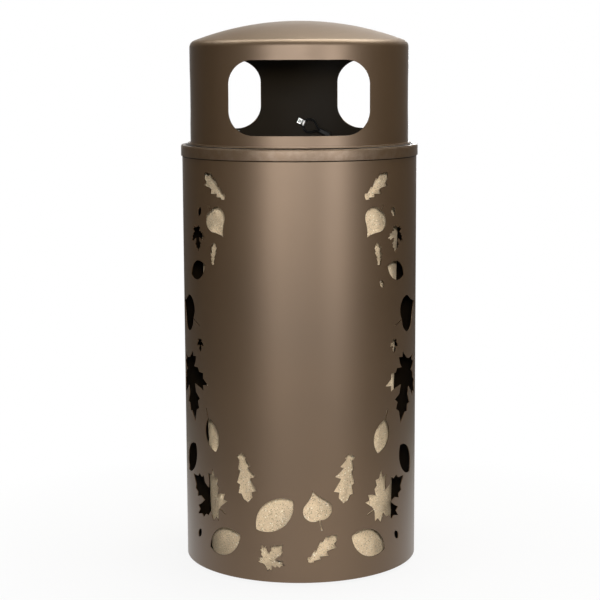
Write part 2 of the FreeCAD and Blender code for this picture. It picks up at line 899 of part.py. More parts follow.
def tether_cable(lid_frame, shell_frame):
    """Free stretch of the tether: straight runs joined by arcs as large as the runs allow."""
    exits = []
    for frame, side in ((lid_frame, 1), (shell_frame, -1)):
        far = value("loop_length + ferrule_length")
        end = loop_frame(frame)
        strand = side * value("strand_offset")
        exits.append((end.multVec(Vector(far, strand, 0)), end.Rotation.multVec(Vector(1, 0, 0))))
    (start, start_way), (stop, stop_way) = exits
    points = [start, start + start_way * CABLE_LEAD]
    points += [route_point(*row) for row in CABLE_ROUTE]
    points += [stop + stop_way * CABLE_TAIL, stop]
    for point in points:
        print("route", ", ".join(f"{c:.1f}" for c in point))
    edges, radii, here = [], [], points[0]
    for before, corner, after in zip(points, points[1:], points[2:]):
        back, ahead = before - corner, after - corner
        half = (math.pi - back.getAngle(ahead)) / 2
        reach = TURN_SHARE * min(back.Length, ahead.Length)
        radii.append(reach / math.tan(half))
        back.normalize()
        ahead.normalize()
        enter, leave = corner + back * reach, corner + ahead * reach
        inward = (back + ahead).normalize()
        middle = corner + inward * (radii[-1] / math.cos(half) - radii[-1])
        edges.append(Part.LineSegment(here, enter).toShape())
        edges.append(Part.Arc(enter, middle, leave).toShape())
        here = leave
    edges.append(Part.LineSegment(here, points[-1]).toShape())
    print("cable bend radii", ", ".join(f"{r:.0f}" for r in radii))
    return pipe("tether_cable", edges)


def main():
    """Build every piece, check the document and write one file for each node."""
    lid_frame = wall_frame(
        value("lid_clip_bearing_angle"),
        value("lid_bore"),
        value("shell_top + lid_clip_height"),
        value("lid_clip_lean_angle"),
    )
    shell_frame = wall_frame(
        value("shell_clip_bearing_angle"),
        value("shell_bore"),
        value("shell_top - shell_clip_drop"),
        value("shell_clip_lean_angle"),
    )
    nodes = [outer_shell(shell_frame), top_band(), base_pan(), liner()]
    nodes += foot_pieces()
    nodes += [lid_dome(), lid_wall(lid_frame), lid_ledge()]
    spigot_end = "shell_top - spigot_depth"
    nodes.append(hoop("lid_spigot_ring", "spigot_bore", "spigot_radius", spigot_end, "shell_top"))
    ends = (
        ("lid", lid_frame, "lid_bore", "lid_sheet"),
        ("shell", shell_frame, "shell_bore", "shell_sheet"),
    )
    for end, frame, bore, wall in ends:
        nodes.append(cable_clip(f"{end}_cable_clip", frame, bore))
        nodes.append(clip_rivet(f"{end}_clip_rivet", frame, wall))
        nodes.append(tether_loop(f"{end}_tether_loop", frame))
        nodes.append(ferrule(f"{end}_tether_ferrule", frame))
    nodes.append(tether_cable(lid_frame, shell_frame))
    doc.recompute()
    failed = [obj.Name for obj in doc.Objects if "Invalid" in obj.State or "Error" in obj.State]
    failed += [node.Name for node in nodes if node.Shape.isNull() or not node.Shape.isValid()]
    if failed:
        raise SystemExit(f"failed: {failed}")
    os.makedirs("parts", exist_ok=True)
    for node in nodes:
        node.Label = node.Name
        node.Shape.exportStep(f"parts/{node.Label}.step")
        box = node.Shape.BoundBox
        print(
            f"{node.Label}: {len(node.Shape.Solids)} solids, {node.Shape.Volume / 1000:.2f} cm3,"
            f" z {box.ZMin:.1f} to {box.ZMax:.1f}"
        )


main()
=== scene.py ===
"""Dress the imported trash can: bronze leaf-cut shell, domed lid, speckled liner and cable tether."""

from __future__ import annotations

import logging
import math
from dataclasses import dataclass
from enum import Enum
from typing import Sequence

import bmesh
import bpy
from mathutils import Matrix, Vector

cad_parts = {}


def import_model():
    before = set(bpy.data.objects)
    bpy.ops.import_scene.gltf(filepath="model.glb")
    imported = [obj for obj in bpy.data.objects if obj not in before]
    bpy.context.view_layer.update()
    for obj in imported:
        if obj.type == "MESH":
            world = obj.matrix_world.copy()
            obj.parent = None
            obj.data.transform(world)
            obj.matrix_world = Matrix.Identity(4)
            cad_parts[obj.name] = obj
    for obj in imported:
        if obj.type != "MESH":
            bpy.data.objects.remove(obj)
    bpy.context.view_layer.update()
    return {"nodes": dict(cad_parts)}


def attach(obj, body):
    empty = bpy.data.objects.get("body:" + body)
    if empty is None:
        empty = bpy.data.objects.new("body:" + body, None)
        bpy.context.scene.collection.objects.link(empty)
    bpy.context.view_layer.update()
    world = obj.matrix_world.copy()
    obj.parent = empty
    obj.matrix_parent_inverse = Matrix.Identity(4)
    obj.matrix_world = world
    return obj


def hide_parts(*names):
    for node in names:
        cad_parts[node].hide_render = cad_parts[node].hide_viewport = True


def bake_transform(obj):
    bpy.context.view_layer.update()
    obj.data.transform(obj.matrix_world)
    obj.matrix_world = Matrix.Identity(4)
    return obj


LOG = logging.getLogger("trash_can")

Colour = tuple[float, float, float, float]
Corner = tuple[float, float]
Spot = tuple[float, float, float]
Form = bmesh.types.BMesh
Ring = list[bmesh.types.BMVert]
Socket = bpy.types.NodeSocket
Thing = bpy.types.Object
Nodes = dict[str, Thing]

WHITE: Colour = (1.0, 1.0, 1.0, 1.0)
UP = Vector((0.0, 0.0, 1.0)).freeze()
PLANES = 128  # upright planes through the axis that split a rolled sheet
TURN = 2 * PLANES  # steps of a full turn that match those planes
INSIDE = 1  # material index of the faces that look inwards
RIM = "rim"  # attribute that marks rubbed edges
PEBBLE_RANGE = (0.2, 0.8)  # grain heights that roughness swings between
POLE = 1e-7  # radius below which a lathe's corner is a pole


class Body(str, Enum):
    """The bodies that pieces ride on."""

    CAN = "can"
    LID = "lid"
    LINER = "liner"


class Effect(str, Enum):
    """Shader node groups that several finishes share."""

    GRAIN = "surface_grain"
    SPECKS = "scattered_specks"
    EDGE_RUB = "rubbed_edges"
    # a level line of painted shade along a joint
    SEAM_SHADE = "seam_dirt"


class Graph:
    """A node tree that is filled one node at a time."""

    def __init__(self, tree: bpy.types.NodeTree) -> None:
        """Start with an empty tree."""
        self.tree = tree
        tree.nodes.clear()

    def add(self, kind: str, inputs: dict | None = None, **settings: object) -> bpy.types.Node:
        """Add one node.

        Args:
            kind: Blender's name of the node type.
            inputs: Values or sockets for its inputs, by name or number.
            **settings: Properties of the node.

        Returns:
            The new node.
        """
        node = self.tree.nodes.new(kind)
        for name, value in settings.items():
            setattr(node, name, value)
        for key, value in (inputs or {}).items():
            self.feed(node.inputs[key], value)
        return node

    def feed(self, socket: Socket, value: object) -> None:
        """Link an input to a socket, or set its value.

        Args:
            socket: The input.
            value: Socket or value.
        """
        if isinstance(value, Socket):
            self.tree.links.new(value, socket)
        else:
            socket.default_value = value

    def math(self, operation: str, first: object, second: object = 0.0) -> Socket:
        """Combine two values with a Math node.

        Args:
            operation: Blender's name of the operation.
            first: Value or socket.
            second: Value or socket.

        Returns:
            The result's socket.
        """
        return self.add("ShaderNodeMath", {0: first, 1: second}, operation=operation).outputs[0]

    def blend(self, amount: object, low: object, high: object, mode: str = "MIX") -> Socket:
        """Mix two colours.

        Args:
            amount: Share of the second colour, as a value or a socket.
            low: First colour or socket.
            high: Second colour or socket.
            mode: Blender's name of the blend mode.

        Returns:
            The mixed colour's socket.
        """
        inputs = {0: amount, 6: low, 7: high}
        return self.add("ShaderNodeMix", inputs, data_type="RGBA", blend_type=mode).outputs[2]

    def span(
        self, value: Socket, low: float, high: float, start: float = 0.0, end: float = 1.0
    ) -> Socket:
        """Map a value from one range to another, clamped.

        Args:
            value: Socket to map.
            low: Start of the range that comes in.
            high: End of the range that comes in.
            start: Start of the range that goes out.
            end: End of the range that goes out.

        Returns:
            The mapped value's socket.
        """
        inputs = {0: value, 1: low, 2: high, 3: start, 4: end}
        return self.add("ShaderNodeMapRange", inputs).outputs[0]

    def noise(self, place: Socket, scale: Socket, detail: float, roughness: float) -> Socket:
        """Values of a noise texture.

        Args:
            place: Socket with coordinates.
            scale: Socket with the number of bumps to a metre.
            detail: Layers of finer noise.
            roughness: Weight of the finer layers.

        Returns:
            The noise's socket.
        """
        inputs = {"Vector": place, "Scale": scale, "Detail": detail, "Roughness": roughness}
        return self.add("ShaderNodeTexNoise", inputs).outputs["Fac"]


class EffectShop:
    """Builds each shared shader group once and places it in materials."""

    TONE_RANGE = (0.3, 0.7)  # noise values that tone drifts between
    SPECK_BASE = 0.35  # added to each speck's random size
    SPECK_SCALE = 0.36  # speck size in cells
    SPECK_EDGE = 0.12  # width of a speck's soft edge in cells
    WORN_RANGE = (0.42, 0.66)  # noise values that wear sets in between
    SEAM_CORE = 0.6  # share of a seam's reach that is fully dark with painted shade

    def __init__(self) -> None:
        """Start with no groups built."""
        self.groups: dict[Effect, bpy.types.NodeTree] = {}

    def place(
        self, graph: Graph, effect: Effect, place: Socket, **inputs: object
    ) -> bpy.types.NodeOutputs:
        """Put a shared effect into a material.

        Args:
            graph: The material's tree.
            effect: Which effect to place.
            place: Socket with coordinates.
            **inputs: Values or sockets for the group's other inputs.

        Returns:
            The group node's outputs.
        """
        if effect not in self.groups:
            builders = {
                Effect.GRAIN: self._grain,
                Effect.SPECKS: self._specks,
                Effect.EDGE_RUB: self._edge_rub,
                Effect.SEAM_SHADE: self._seam_shade,
            }
            self.groups[effect] = builders[effect]()
        given = {"Place": place, **inputs}
        return graph.add("ShaderNodeGroup", given, node_tree=self.groups[effect]).outputs

    @staticmethod
    def _open(
        effect: Effect, inputs: Sequence[str], outputs: Sequence[str] = ("Mask",)
    ) -> tuple[Graph, bpy.types.NodeOutputs, bpy.types.NodeInputs]:
        """Make an empty group with a place and named values.

        Args:
            effect: The group's name.
            inputs: Names of the values that it takes besides the place.
            outputs: Names of the values that it gives.

        Returns:
            The group's graph, the sockets with what it takes and those for what it gives.
        """
        tree = bpy.data.node_groups.new(effect.value, "ShaderNodeTree")
        graph = Graph(tree)
        tree.interface.new_socket("Place", in_out="INPUT", socket_type="NodeSocketVector")
        for way, names in (("INPUT", inputs), ("OUTPUT", outputs)):
            for name in names:
                tree.interface.new_socket(name, in_out=way, socket_type="NodeSocketFloat")
        given = graph.add("NodeGroupInput").outputs
        return graph, given, graph.add("NodeGroupOutput").inputs

    def _grain(self) -> bpy.types.NodeTree:
        """Fine pebbling for bumps and a slow drift of tone, both from 0 to 1.

        Returns:
            The group's tree.
        """
        graph, given, end = self._open(Effect.GRAIN, ("Pebbles", "Drift"), ("Height", "Tone"))
        slow = graph.noise(given["Place"], given["Drift"], detail=3.0, roughness=0.5)
        fine = graph.noise(given["Place"], given["Pebbles"], detail=2.0, roughness=0.6)
        graph.feed(end["Height"], fine)
        graph.feed(end["Tone"], graph.span(slow, *self.TONE_RANGE))
        return graph.tree

    def _specks(self) -> bpy.types.NodeTree:
        """Round specks of uneven size, as a mask from 0 to 1.

        Returns:
            The group's tree.
        """
        graph, given, end = self._open(Effect.SPECKS, ("Cells", "Share"))
        inputs = {"Vector": given["Place"], "Scale": given["Cells"], "Randomness": 1.0}
        cells = graph.add("ShaderNodeTexVoronoi", inputs).outputs
        chance = graph.add("ShaderNodeSeparateColor", {0: cells["Color"]}).outputs
        kept = graph.math("LESS_THAN", chance[0], given["Share"])
        size = graph.math("ADD", chance[1], self.SPECK_BASE)
        size = graph.math("MULTIPLY", size, self.SPECK_SCALE)
        near = graph.math("SUBTRACT", size, cells["Distance"])
        soft = graph.span(near, 0.0, self.SPECK_EDGE)
        graph.feed(end["Mask"], graph.math("MULTIPLY", kept, soft))
        return graph.tree

    def _edge_rub(self) -> bpy.types.NodeTree:
        """Broken wear along the edges that a mesh marks with its rim attribute.

        Returns:
            The group's tree.
        """
        graph, given, end = self._open(Effect.EDGE_RUB, ("Rim", "Break"))
        patches = graph.noise(given["Place"], given["Break"], detail=4.0, roughness=0.65)
        worn = graph.span(patches, *self.WORN_RANGE)
        graph.feed(end["Mask"], graph.math("MULTIPLY", given["Rim"], worn))
        return graph.tree

    def _seam_shade(self) -> bpy.types.NodeTree:
        """A level line of painted shade at one height, as a mask from 0 to 1.

        Returns:
            The group's tree.
        """
        graph, given, end = self._open(Effect.SEAM_SHADE, ("Height", "Reach"))
        level = graph.add("ShaderNodeSeparateXYZ", {0: given["Place"]}).outputs["Z"]
        away = graph.math("ABSOLUTE", graph.math("SUBTRACT", level, given["Height"]))
        share = graph.math("DIVIDE", away, given["Reach"])
        graph.feed(end["Mask"], graph.span(share, self.SEAM_CORE, 1.0, 1.0, 0.0))
        return graph.tree


EFFECTS = EffectShop()


def new_material(name: str) -> tuple[bpy.types.Material, Graph, Socket]:
    """Start a material.

    Args:
        name: The material's name.

    Returns:
        The material, its empty graph and a socket with Object coordinates.
    """
    material = bpy.data.materials.new(name)
    material.use_nodes = True
    graph = Graph(material.node_tree)
    place = graph.add("ShaderNodeTexCoord").outputs["Object"]
    return material, graph, place


@dataclass(frozen=True, kw_only=True)
class Finish:
    """A material whose grain shows as fine bumps and as a slow drift of tone."""

    name: str
    slot: str
    roughness: float
    pebbles: float
    drift: float
    bump: float
    bump_height: float

    def material(self) -> bpy.types.Material:
        """Build the finish's material.

        Returns:
            The material.
        """
        material, graph, place = new_material(self.name)
        grain = EFFECTS.place(graph, Effect.GRAIN, place, Pebbles=self.pebbles, Drift=self.drift)
        inputs = self.inputs(graph, place, grain)
        bumps = {"Height": grain["Height"], "Strength": self.bump, "Distance": self.bump_height}
        inputs["Normal"] = graph.add("ShaderNodeBump", bumps).outputs[0]
        shader = graph.add("ShaderNodeBsdfPrincipled", inputs)
        graph.add("ShaderNodeOutputMaterial", {"Surface": shader.outputs[0]})
        return material

    def inputs(self, graph: Graph, place: Socket, grain: bpy.types.NodeOutputs) -> dict[str, object]:
        """Values and sockets for the shader, apart from its bumps.

        Args:
            graph: The material's tree.
            place: Socket with Object coordinates.
            grain: The grain's height and tone.

        Returns:
            The shader's inputs by name.
        """
        raise NotImplementedError

    def uneven(self, graph: Graph, height: Socket, swing: float) -> Socket:
        """Roughness that swings both ways with the grain's height."""
        return graph.span(height, *PEBBLE_RANGE, self.roughness - swing, self.roughness + swing)

    @staticmethod
    def toned(graph: Graph, colour: Colour, tone: Socket, depth: float) -> Socket:
        """A colour that drifts both ways with the grain's tone."""
        shade = graph.span(tone, 0.0, 1.0, 1.0 - depth, 1.0 + depth)
        return graph.blend(1.0, colour, shade, "MULTIPLY")


@dataclass(frozen=True)
class SeamShade:
    """A level line of painted shade along a joint, and how far it reaches up and down."""

    height: float
    reach: float


@dataclass(frozen=True, kw_only=True)
class PowderCoat(Finish):
    """Baked powder paint with a fine pebbled skin."""

    colour: Colour
    rubbed: Colour
    slot: str = "bronze_paint"
    metallic: float = 0.0
    pebbles: float = 900.0
    drift: float = 2.6
    drift_depth: float = 0.10
    bump: float = 0.12
    bump_height: float = 0.0004
    swing: float = 0.05
    wear: float = 0.25
    wear_patches: float = 70.0
    specular: float = 0.35
    coat: float = 0.0
    # lines of painted shade along joints, and the colour of that shade
    seam_shades: tuple[SeamShade, ...] = ()
    painted_shade: Colour = (0.004, 0.003, 0.002, 1.0)

    def inputs(self, graph: Graph, place: Socket, grain: bpy.types.NodeOutputs) -> dict[str, object]:
        """Paint that is rubbed at the rims and has painted shade along its joints.

        Args:
            graph: The material's tree.
            place: Socket with Object coordinates.
            grain: The grain's height and tone.

        Returns:
            The shader's inputs by name.
        """
        rim = graph.add("ShaderNodeAttribute", attribute_name=RIM, attribute_type="GEOMETRY")
        rub = EFFECTS.place(
            graph, Effect.EDGE_RUB, place, Rim=rim.outputs["Fac"], Break=self.wear_patches
        )
        toned = self.toned(graph, self.colour, grain["Tone"], self.drift_depth)
        worn = graph.math("MULTIPLY", rub["Mask"], self.wear)
        colour = graph.blend(worn, toned, self.rubbed)
        metallic, coat = self.metallic, self.coat
        # painted shade along the joints: dark, fully metallic and without coat
        for seam in self.seam_shades:
            line = EFFECTS.place(graph, Effect.SEAM_SHADE, place, Height=seam.height, Reach=seam.reach)
            mask = line["Mask"]
            colour = graph.blend(mask, colour, self.painted_shade)
            metallic = graph.math("MAXIMUM", metallic, mask)
            coat = graph.math("MULTIPLY", coat, graph.math("SUBTRACT", 1.0, mask))
        return {
            "Base Color": colour,
            "Roughness": self.uneven(graph, grain["Height"], self.swing),
            "Metallic": metallic,
            "Specular IOR Level": self.specular,
            "Coat Weight": coat,
            "Coat Roughness": self.roughness,
        }


@dataclass(frozen=True)
class Flecks:
    """One layer of flecks: cells to a metre, share of the cells that have one, and colour."""

    cells: float
    share: float
    colour: Colour


@dataclass(frozen=True, kw_only=True)
class SpeckledPlastic(Finish):
    """Moulded plastic with dark and pale flecks through it."""

    ground: Colour
    flecks: tuple[Flecks, ...]
    pebbles: float = 260.0
    drift: float = 9.0
    drift_depth: float = 0.08
    bump: float = 0.2
    bump_height: float = 0.0006
    diffuse_roughness: float = 0.3

    def inputs(self, graph: Graph, place: Socket, grain: bpy.types.NodeOutputs) -> dict[str, object]:
        """Plastic with its layers of flecks.

        Args:
            graph: The material's tree.
            place: Socket with Object coordinates.
            grain: The grain's height and tone.

        Returns:
            The shader's inputs by name.
        """
        colour = self.toned(graph, self.ground, grain["Tone"], self.drift_depth)
        for layer in self.flecks:
            specks = EFFECTS.place(graph, Effect.SPECKS, place, Cells=layer.cells, Share=layer.share)
            colour = graph.blend(specks["Mask"], colour, layer.colour)
        return {
            "Base Color": colour,
            "Roughness": self.roughness,
            "Diffuse Roughness": self.diffuse_roughness,
        }


@dataclass(frozen=True, kw_only=True)
class BareMetal(Finish):
    """Plated steel with fine rubbing marks."""

    colour: Colour
    dull: Colour
    pebbles: float = 1400.0
    drift: float = 160.0
    bump: float = 0.1
    bump_height: float = 0.0002
    polish: float = 0.08
    scuff: float = 0.1

    def inputs(self, graph: Graph, place: Socket, grain: bpy.types.NodeOutputs) -> dict[str, object]:
        """Metal that is polished in places and dull in others.

        Args:
            graph: The material's tree.
            place: Socket with Object coordinates; not used.
            grain: The grain's height and tone.

        Returns:
            The shader's inputs by name.
        """
        tone, shiny, rough = grain["Tone"], self.roughness - self.polish, self.roughness + self.scuff
        return {
            "Base Color": graph.blend(tone, self.colour, self.dull),
            "Roughness": graph.span(tone, 0.0, 1.0, shiny, rough),
            "Metallic": 1.0,
        }


@dataclass(frozen=True, kw_only=True)
class BlackPolymer(Finish):
    """Rubber or vinyl: nearly black, with a faint grain and a little dust."""

    colour: Colour
    dusty: Colour
    pebbles: float = 1100.0
    drift: float = 55.0
    bump: float = 0.25
    bump_height: float = 0.0003
    swing: float = 0.06
    dust: float = 0.5
    specular: float = 0.5

    def inputs(self, graph: Graph, place: Socket, grain: bpy.types.NodeOutputs) -> dict[str, object]:
        """Polymer with dust in patches.

        Args:
            graph: The material's tree.
            place: Socket with Object coordinates; not used.
            grain: The grain's height and tone.

        Returns:
            The shader's inputs by name.
        """
        dust = graph.math("MULTIPLY", grain["Tone"], self.dust)
        return {
            "Base Color": graph.blend(dust, self.colour, self.dusty),
            "Roughness": self.uneven(graph, grain["Height"], self.swing),
            "Specular IOR Level": self.specular,
        }


BRONZE = PowderCoat(
    name="bronze_powder_coat",
    colour=(0.098, 0.0565, 0.0252, 1.0),
    rubbed=(0.20, 0.15, 0.11, 1.0),
    roughness=0.46,
    metallic=0.6,
    coat=0.8,
    # painted shade on the ledge's slope below its bead and on the shell just below the top band
    seam_shades=(SeamShade(height=0.8446, reach=0.0011), SeamShade(height=0.8213, reach=0.0012)),
)
# a much darker copy of the bronze, as painted shade for the unlit inside of the shell and the hidden
# spigot
SHADED_INSIDE = PowderCoat(
    name="bronze_in_painted_shade",
    colour=(0.0136, 0.0088, 0.0046, 1.0),
    rubbed=(0.02, 0.016, 0.012, 1.0),
    roughness=0.7,
    bump=0.08,
    specular=0.08,
)
# a darker copy of the bronze, as painted shade for the unlit inside of the lid
SHADED_LID_INSIDE = PowderCoat(
    name="lid_bronze_in_painted_shade",
    colour=(0.0125, 0.0092, 0.0055, 1.0),
    rubbed=(0.04, 0.03, 0.02, 1.0),
    roughness=0.6,
    bump=0.08,
    specular=0.10,
)
# near-black paint on the pan, as painted shade where the dark space past the liner shows
PAN_PAINTED_SHADE = PowderCoat(
    name="pan_black_painted_shade",
    slot="pan_paint",
    colour=(0.014, 0.013, 0.012, 1.0),
    rubbed=(0.04, 0.04, 0.04, 1.0),
    roughness=0.55,
)
CRIMP_BLACK = PowderCoat(
    name="crimp_black_coat",
    slot="ferrule_metal",
    colour=(0.005, 0.005, 0.005, 1.0),
    rubbed=(0.03, 0.03, 0.03, 1.0),
    roughness=0.45,
    specular=0.14,
)
PALE_FLECK: Colour = (0.98, 0.90, 0.74, 1.0)
DARK_FLECK: Colour = (0.34, 0.25, 0.145, 1.0)
SANDSTONE = SpeckledPlastic(
    name="sandstone_plastic",
    slot="liner_plastic",
    ground=(0.75, 0.59, 0.39, 1.0),
    flecks=(
        Flecks(cells=300.0, share=0.45, colour=PALE_FLECK),
        Flecks(cells=360.0, share=0.60, colour=DARK_FLECK),
        Flecks(cells=500.0, share=0.60, colour=DARK_FLECK),
    ),
    roughness=0.6,
)
ZINC = BareMetal(
    name="zinc_plate",
    slot="zinc_steel",
    colour=(0.66, 0.66, 0.64, 1.0),
    dull=(0.46, 0.46, 0.45, 1.0),
    roughness=0.32,
)
RUBBER = BlackPolymer(
    name="foot_rubber",
    slot="foot_rubber",
    colour=(0.018, 0.018, 0.018, 1.0),
    dusty=(0.05, 0.048, 0.045, 1.0),
    roughness=0.78,
)
VINYL = BlackPolymer(
    name="black_vinyl",
    slot="cable_jacket",
    colour=(0.003, 0.003, 0.003, 1.0),
    dusty=(0.007, 0.007, 0.007, 1.0),
    roughness=0.36,
    pebbles=700.0,
    specular=0.08,
)


class Paintbox:
    """Builds each finish's material once."""

    def __init__(self) -> None:
        """Start with no materials."""
        self.made: dict[str, bpy.types.Material] = {}

    def get(self, finish: Finish) -> bpy.types.Material:
        """Give a finish's material, built the first time.

        Args:
            finish: The finish.

        Returns:
            Its material.
        """
        if finish.name not in self.made:
            self.made[finish.name] = finish.material()
        return self.made[finish.name]


PAINTS = Paintbox()


@dataclass
class Piece:
    """One finished object, with its body, the node that it stands for and its slot."""

    thing: Thing
    body: Body
    stands_for: str
    slot: str

    def settle(self) -> None:
        """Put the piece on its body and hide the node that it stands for."""
        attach(self.thing, self.body.value)
        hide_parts(self.stands_for)
        faces = len(self.thing.data.polygons)
        LOG.info("%s rides on %s, %d faces", self.thing.name, self.body.value, faces)


def dress(node: Thing, finish: Finish) -> None:
    """Give a CAD node that stays on show its finish's material.

    Args:
        node: The CAD node's object.
        finish: What it is made of.
    """
    node.data.materials.clear()
    node.data.materials.append(PAINTS.get(finish))
    LOG.info("%s takes %s", node.name, finish.name)


def add_object(name: str, data: bpy.types.ID) -> Thing:
    """Add an object with the given data to the scene.

    Args:
        name: The object's name.
        data: Its mesh, curve, lamp or camera.

    Returns:
        The new object.
    """
    thing = bpy.data.objects.new(name, data)
    bpy.context.scene.collection.objects.link(thing)
    return thing


def discard(*spares: Thing) -> None:
    """Remove objects that were needed only on the way."""
    for spare in spares:
        bpy.data.objects.remove(spare)


def smooth(mesh: bpy.types.Mesh, sharp: float = 32.0) -> None:
    """Shade a mesh smooth, apart from edges that bend by more than an angle in degrees."""
    mesh.shade_smooth()
    mesh.set_sharp_from_angle(angle=math.radians(sharp))


def object_from(name: str, form: Form, *finishes: Finish) -> Thing:
    """Turn a bmesh into an object with smooth sides and sharp corners.

    Args:
        name: The object's name.
        form: The bmesh, which is freed.
        *finishes: One finish for each material index.

    Returns:
        The new object.
    """
    mesh = bpy.data.meshes.new(name)
    form.to_mesh(mesh)
    form.free()
    for finish in finishes:
        mesh.materials.append(PAINTS.get(finish))
    smooth(mesh)
    return add_object(name, mesh)


def plain_copy(name: str, source: Thing) -> Thing:
    """Copy an object with its mesh as its modifiers leave it.

    Args:
        name: The new object's name.
        source: The object with modifiers.

    Returns:
        The new object.
    """
    bpy.context.view_layer.update()
    depsgraph = bpy.context.evaluated_depsgraph_get()
    mesh = bpy.data.meshes.new_from_object(source.evaluated_get(depsgraph), depsgraph=depsgraph)
    mesh.name = name
    return add_object(name, mesh)


def bridge(form: Form, first: Ring, second: Ring) -> None:
    """Join two rings of points with faces.

    Args:
        form: The bmesh that holds them.
        first: One ring, or a single point.
        second: The other ring, or a single point.
    """
    count = max(len(first), len(second))
    for step in range(count):
        after = (step + 1) % count
        corners = [
            first[step % len(first)],
            first[after % len(first)],
            second[after % len(second)],
            second[step % len(second)],
        ]
        form.faces.new(list(dict.fromkeys(corners)))


def lathe(profile: Sequence[Corner], segments: int) -> Form:
    """Turn a closed outline of radius and height round the upright axis.

    Args:
        profile: Corners as radius and height, in order; a radius of zero makes a pole.
        segments: Steps of a full turn.

    Returns:
        The closed bmesh with outward normals.
    """
    form = bmesh.new()
    angles = [math.tau * step / segments for step in range(segments)]
    rings: list[Ring] = []
    for radius, height in profile:
        round_spots = [(radius * math.cos(a), radius * math.sin(a), height) for a in angles]
        spots = [(0.0, 0.0, height)] if radius < POLE else round_spots
        rings.append([form.verts.new(spot) for spot in spots])
    for first, second in zip(rings, rings[1:] + rings[:1]):
        if len(first) > 1 or len(second) > 1:
            bridge(form, first, second)
    bmesh.ops.recalc_face_normals(form, faces=form.faces)
    return form


def tube(line: Sequence[Vector], radius: float, sides: int) -> Form:
    """A closed round tube along a line of points.

    Args:
        line: The points, close together.
        radius: The tube's radius.
        sides: Number of sides of its section.

    Returns:
        The closed bmesh with outward normals.
    """
    form = bmesh.new()
    angles = [math.tau * step / sides for step in range(sides)]
    rings: list[Ring] = []
    across = (line[1] - line[0]).orthogonal().normalized()
    for i, point in enumerate(line):
        way = (line[min(i + 1, len(line) - 1)] - line[max(i - 1, 0)]).normalized()
        across = (across - way * across.dot(way)).normalized()
        aside = way.cross(across)
        spots = [point + (across * math.cos(a) + aside * math.sin(a)) * radius for a in angles]
        rings.append([form.verts.new(spot) for spot in spots])
    for first, second in zip(rings, rings[1:]):
        bridge(form, first, second)
    form.faces.new(rings[0])
    form.faces.new(rings[-1])
    bmesh.ops.recalc_face_normals(form, faces=form.faces)
    return form


def arc(centre: Corner, radius: float, start: float, end: float, steps: int) -> list[Corner]:
    """Corners along an arc.

    Args:
        centre: Middle of the circle.
        radius: Its radius.
        start: First angle in degrees.
        end: Last angle in degrees.
        steps: Number of steps.

    Returns:
        The corners, both ends included.
    """
    angles = [math.radians(start + (end - start) * step / steps) for step in range(steps + 1)]
    return [(centre[0] + radius * math.cos(a), centre[1] + radius * math.sin(a)) for a in angles]


def eased(corner: Corner, before: Vector, after: Vector, ease: float, steps: int = 4) -> list[Corner]:
    """Ease one corner of an outline.

    Args:
        corner: The corner.
        before: Way from the corner back along the outline.
        after: Way from the corner on along the outline.
        ease: How far back from the corner the rounding starts.
        steps: Steps of the rounding.

    Returns:
        The eased corner.
    """
    here = Vector(corner)
    back, on = before.normalized() * ease, after.normalized() * ease
    shares = [step / steps for step in range(steps + 1)]
    points = [here + back * (1 - share) ** 2 + on * share**2 for share in shares]
    return [(point.x, point.y) for point in points]


def rounded(corners: Sequence[Corner], ease: float, steps: int = 4) -> list[Corner]:
    """Ease every corner of a closed outline.

    Args:
        corners: The outline's corners.
        ease: How far back from each corner the rounding starts.
        steps: Steps of each rounding.

    Returns:
        The eased outline.
    """
    outline: list[Corner] = []
    for i, corner in enumerate(corners):
        here = Vector(corner)
        before = Vector(corners[i - 1]) - here
        after = Vector(corners[(i + 1) % len(corners)]) - here
        outline += eased(corner, before, after, ease, steps)
    return outline


def bar(inner: float, outer: float, low: float, high: float) -> list[Corner]:
    """Corners of a hoop's section between two radii and two heights."""
    return [(inner, low), (outer, low), (outer, high), (inner, high)]


def round_copy(
    node: Thing, radii: Sequence[float], weld: float = 2e-6, reach: float = 0.0007, sliver: float = 1e-6
) -> Form:
    """Copy a round sheet-metal node, split it into narrow upright strips and true it to its radii.

    Args:
        node: The CAD node's object.
        radii: The radii that its points lie on.
        weld: Distance below which points are one.
        reach: How far from a radius a point is trued to it.
        sliver: Length below which an edge is dissolved.

    Returns:
        The trued bmesh.
    """
    form = bmesh.new()
    form.from_mesh(node.data)
    bmesh.ops.remove_doubles(form, verts=form.verts, dist=weld)
    for step in range(PLANES):
        angle = math.pi * (step + 0.5) / PLANES
        normal = (math.cos(angle), math.sin(angle), 0)
        every = form.verts[:] + form.edges[:] + form.faces[:]
        bmesh.ops.bisect_plane(form, geom=every, dist=weld, plane_co=(0, 0, 0), plane_no=normal)
    for vert in form.verts:
        flat = math.hypot(vert.co.x, vert.co.y)
        true = min(radii, key=lambda radius: abs(radius - flat))
        if abs(true - flat) < reach:
            vert.co.x *= true / flat
            vert.co.y *= true / flat
    bmesh.ops.dissolve_degenerate(form, edges=form.edges, dist=sliver)
    return form


def line_inside(form: Form, facing: float = 0.5) -> None:
    """Give the faces that look towards the upright axis the inside's material index.

    Args:
        form: The bmesh of a rolled sheet.
        facing: How squarely a face has to look at the axis, up to 1.
    """
    for face in form.faces:
        middle = face.calc_center_median()
        outward = Vector((middle.x, middle.y, 0.0)).normalized()
        if face.normal.dot(outward) < -facing:
            face.material_index = INSIDE


def true_normals(mesh: bpy.types.Mesh, facing: float = 0.8, sliver: float = 1e-12) -> None:
    """Point the normals of a rolled sheet's faces straight away from the upright axis, or at it.

    Args:
        mesh: The sheet's mesh.
        facing: How squarely a face has to look along the radius, up to 1.
        sliver: Area below which a face counts as part of the sheet's sides.
    """
    normals: list[Vector] = []
    for face in mesh.polygons:
        for index in face.vertices:
            place = mesh.vertices[index].co
            outward = Vector((place.x, place.y, 0.0)).normalized()
            side = face.normal.dot(outward)
            if abs(side) > facing or face.area < sliver:
                normals.append(outward if side >= 0 else -outward)
            else:
                normals.append(face.normal.copy())
    mesh.normals_split_custom_set(normals)


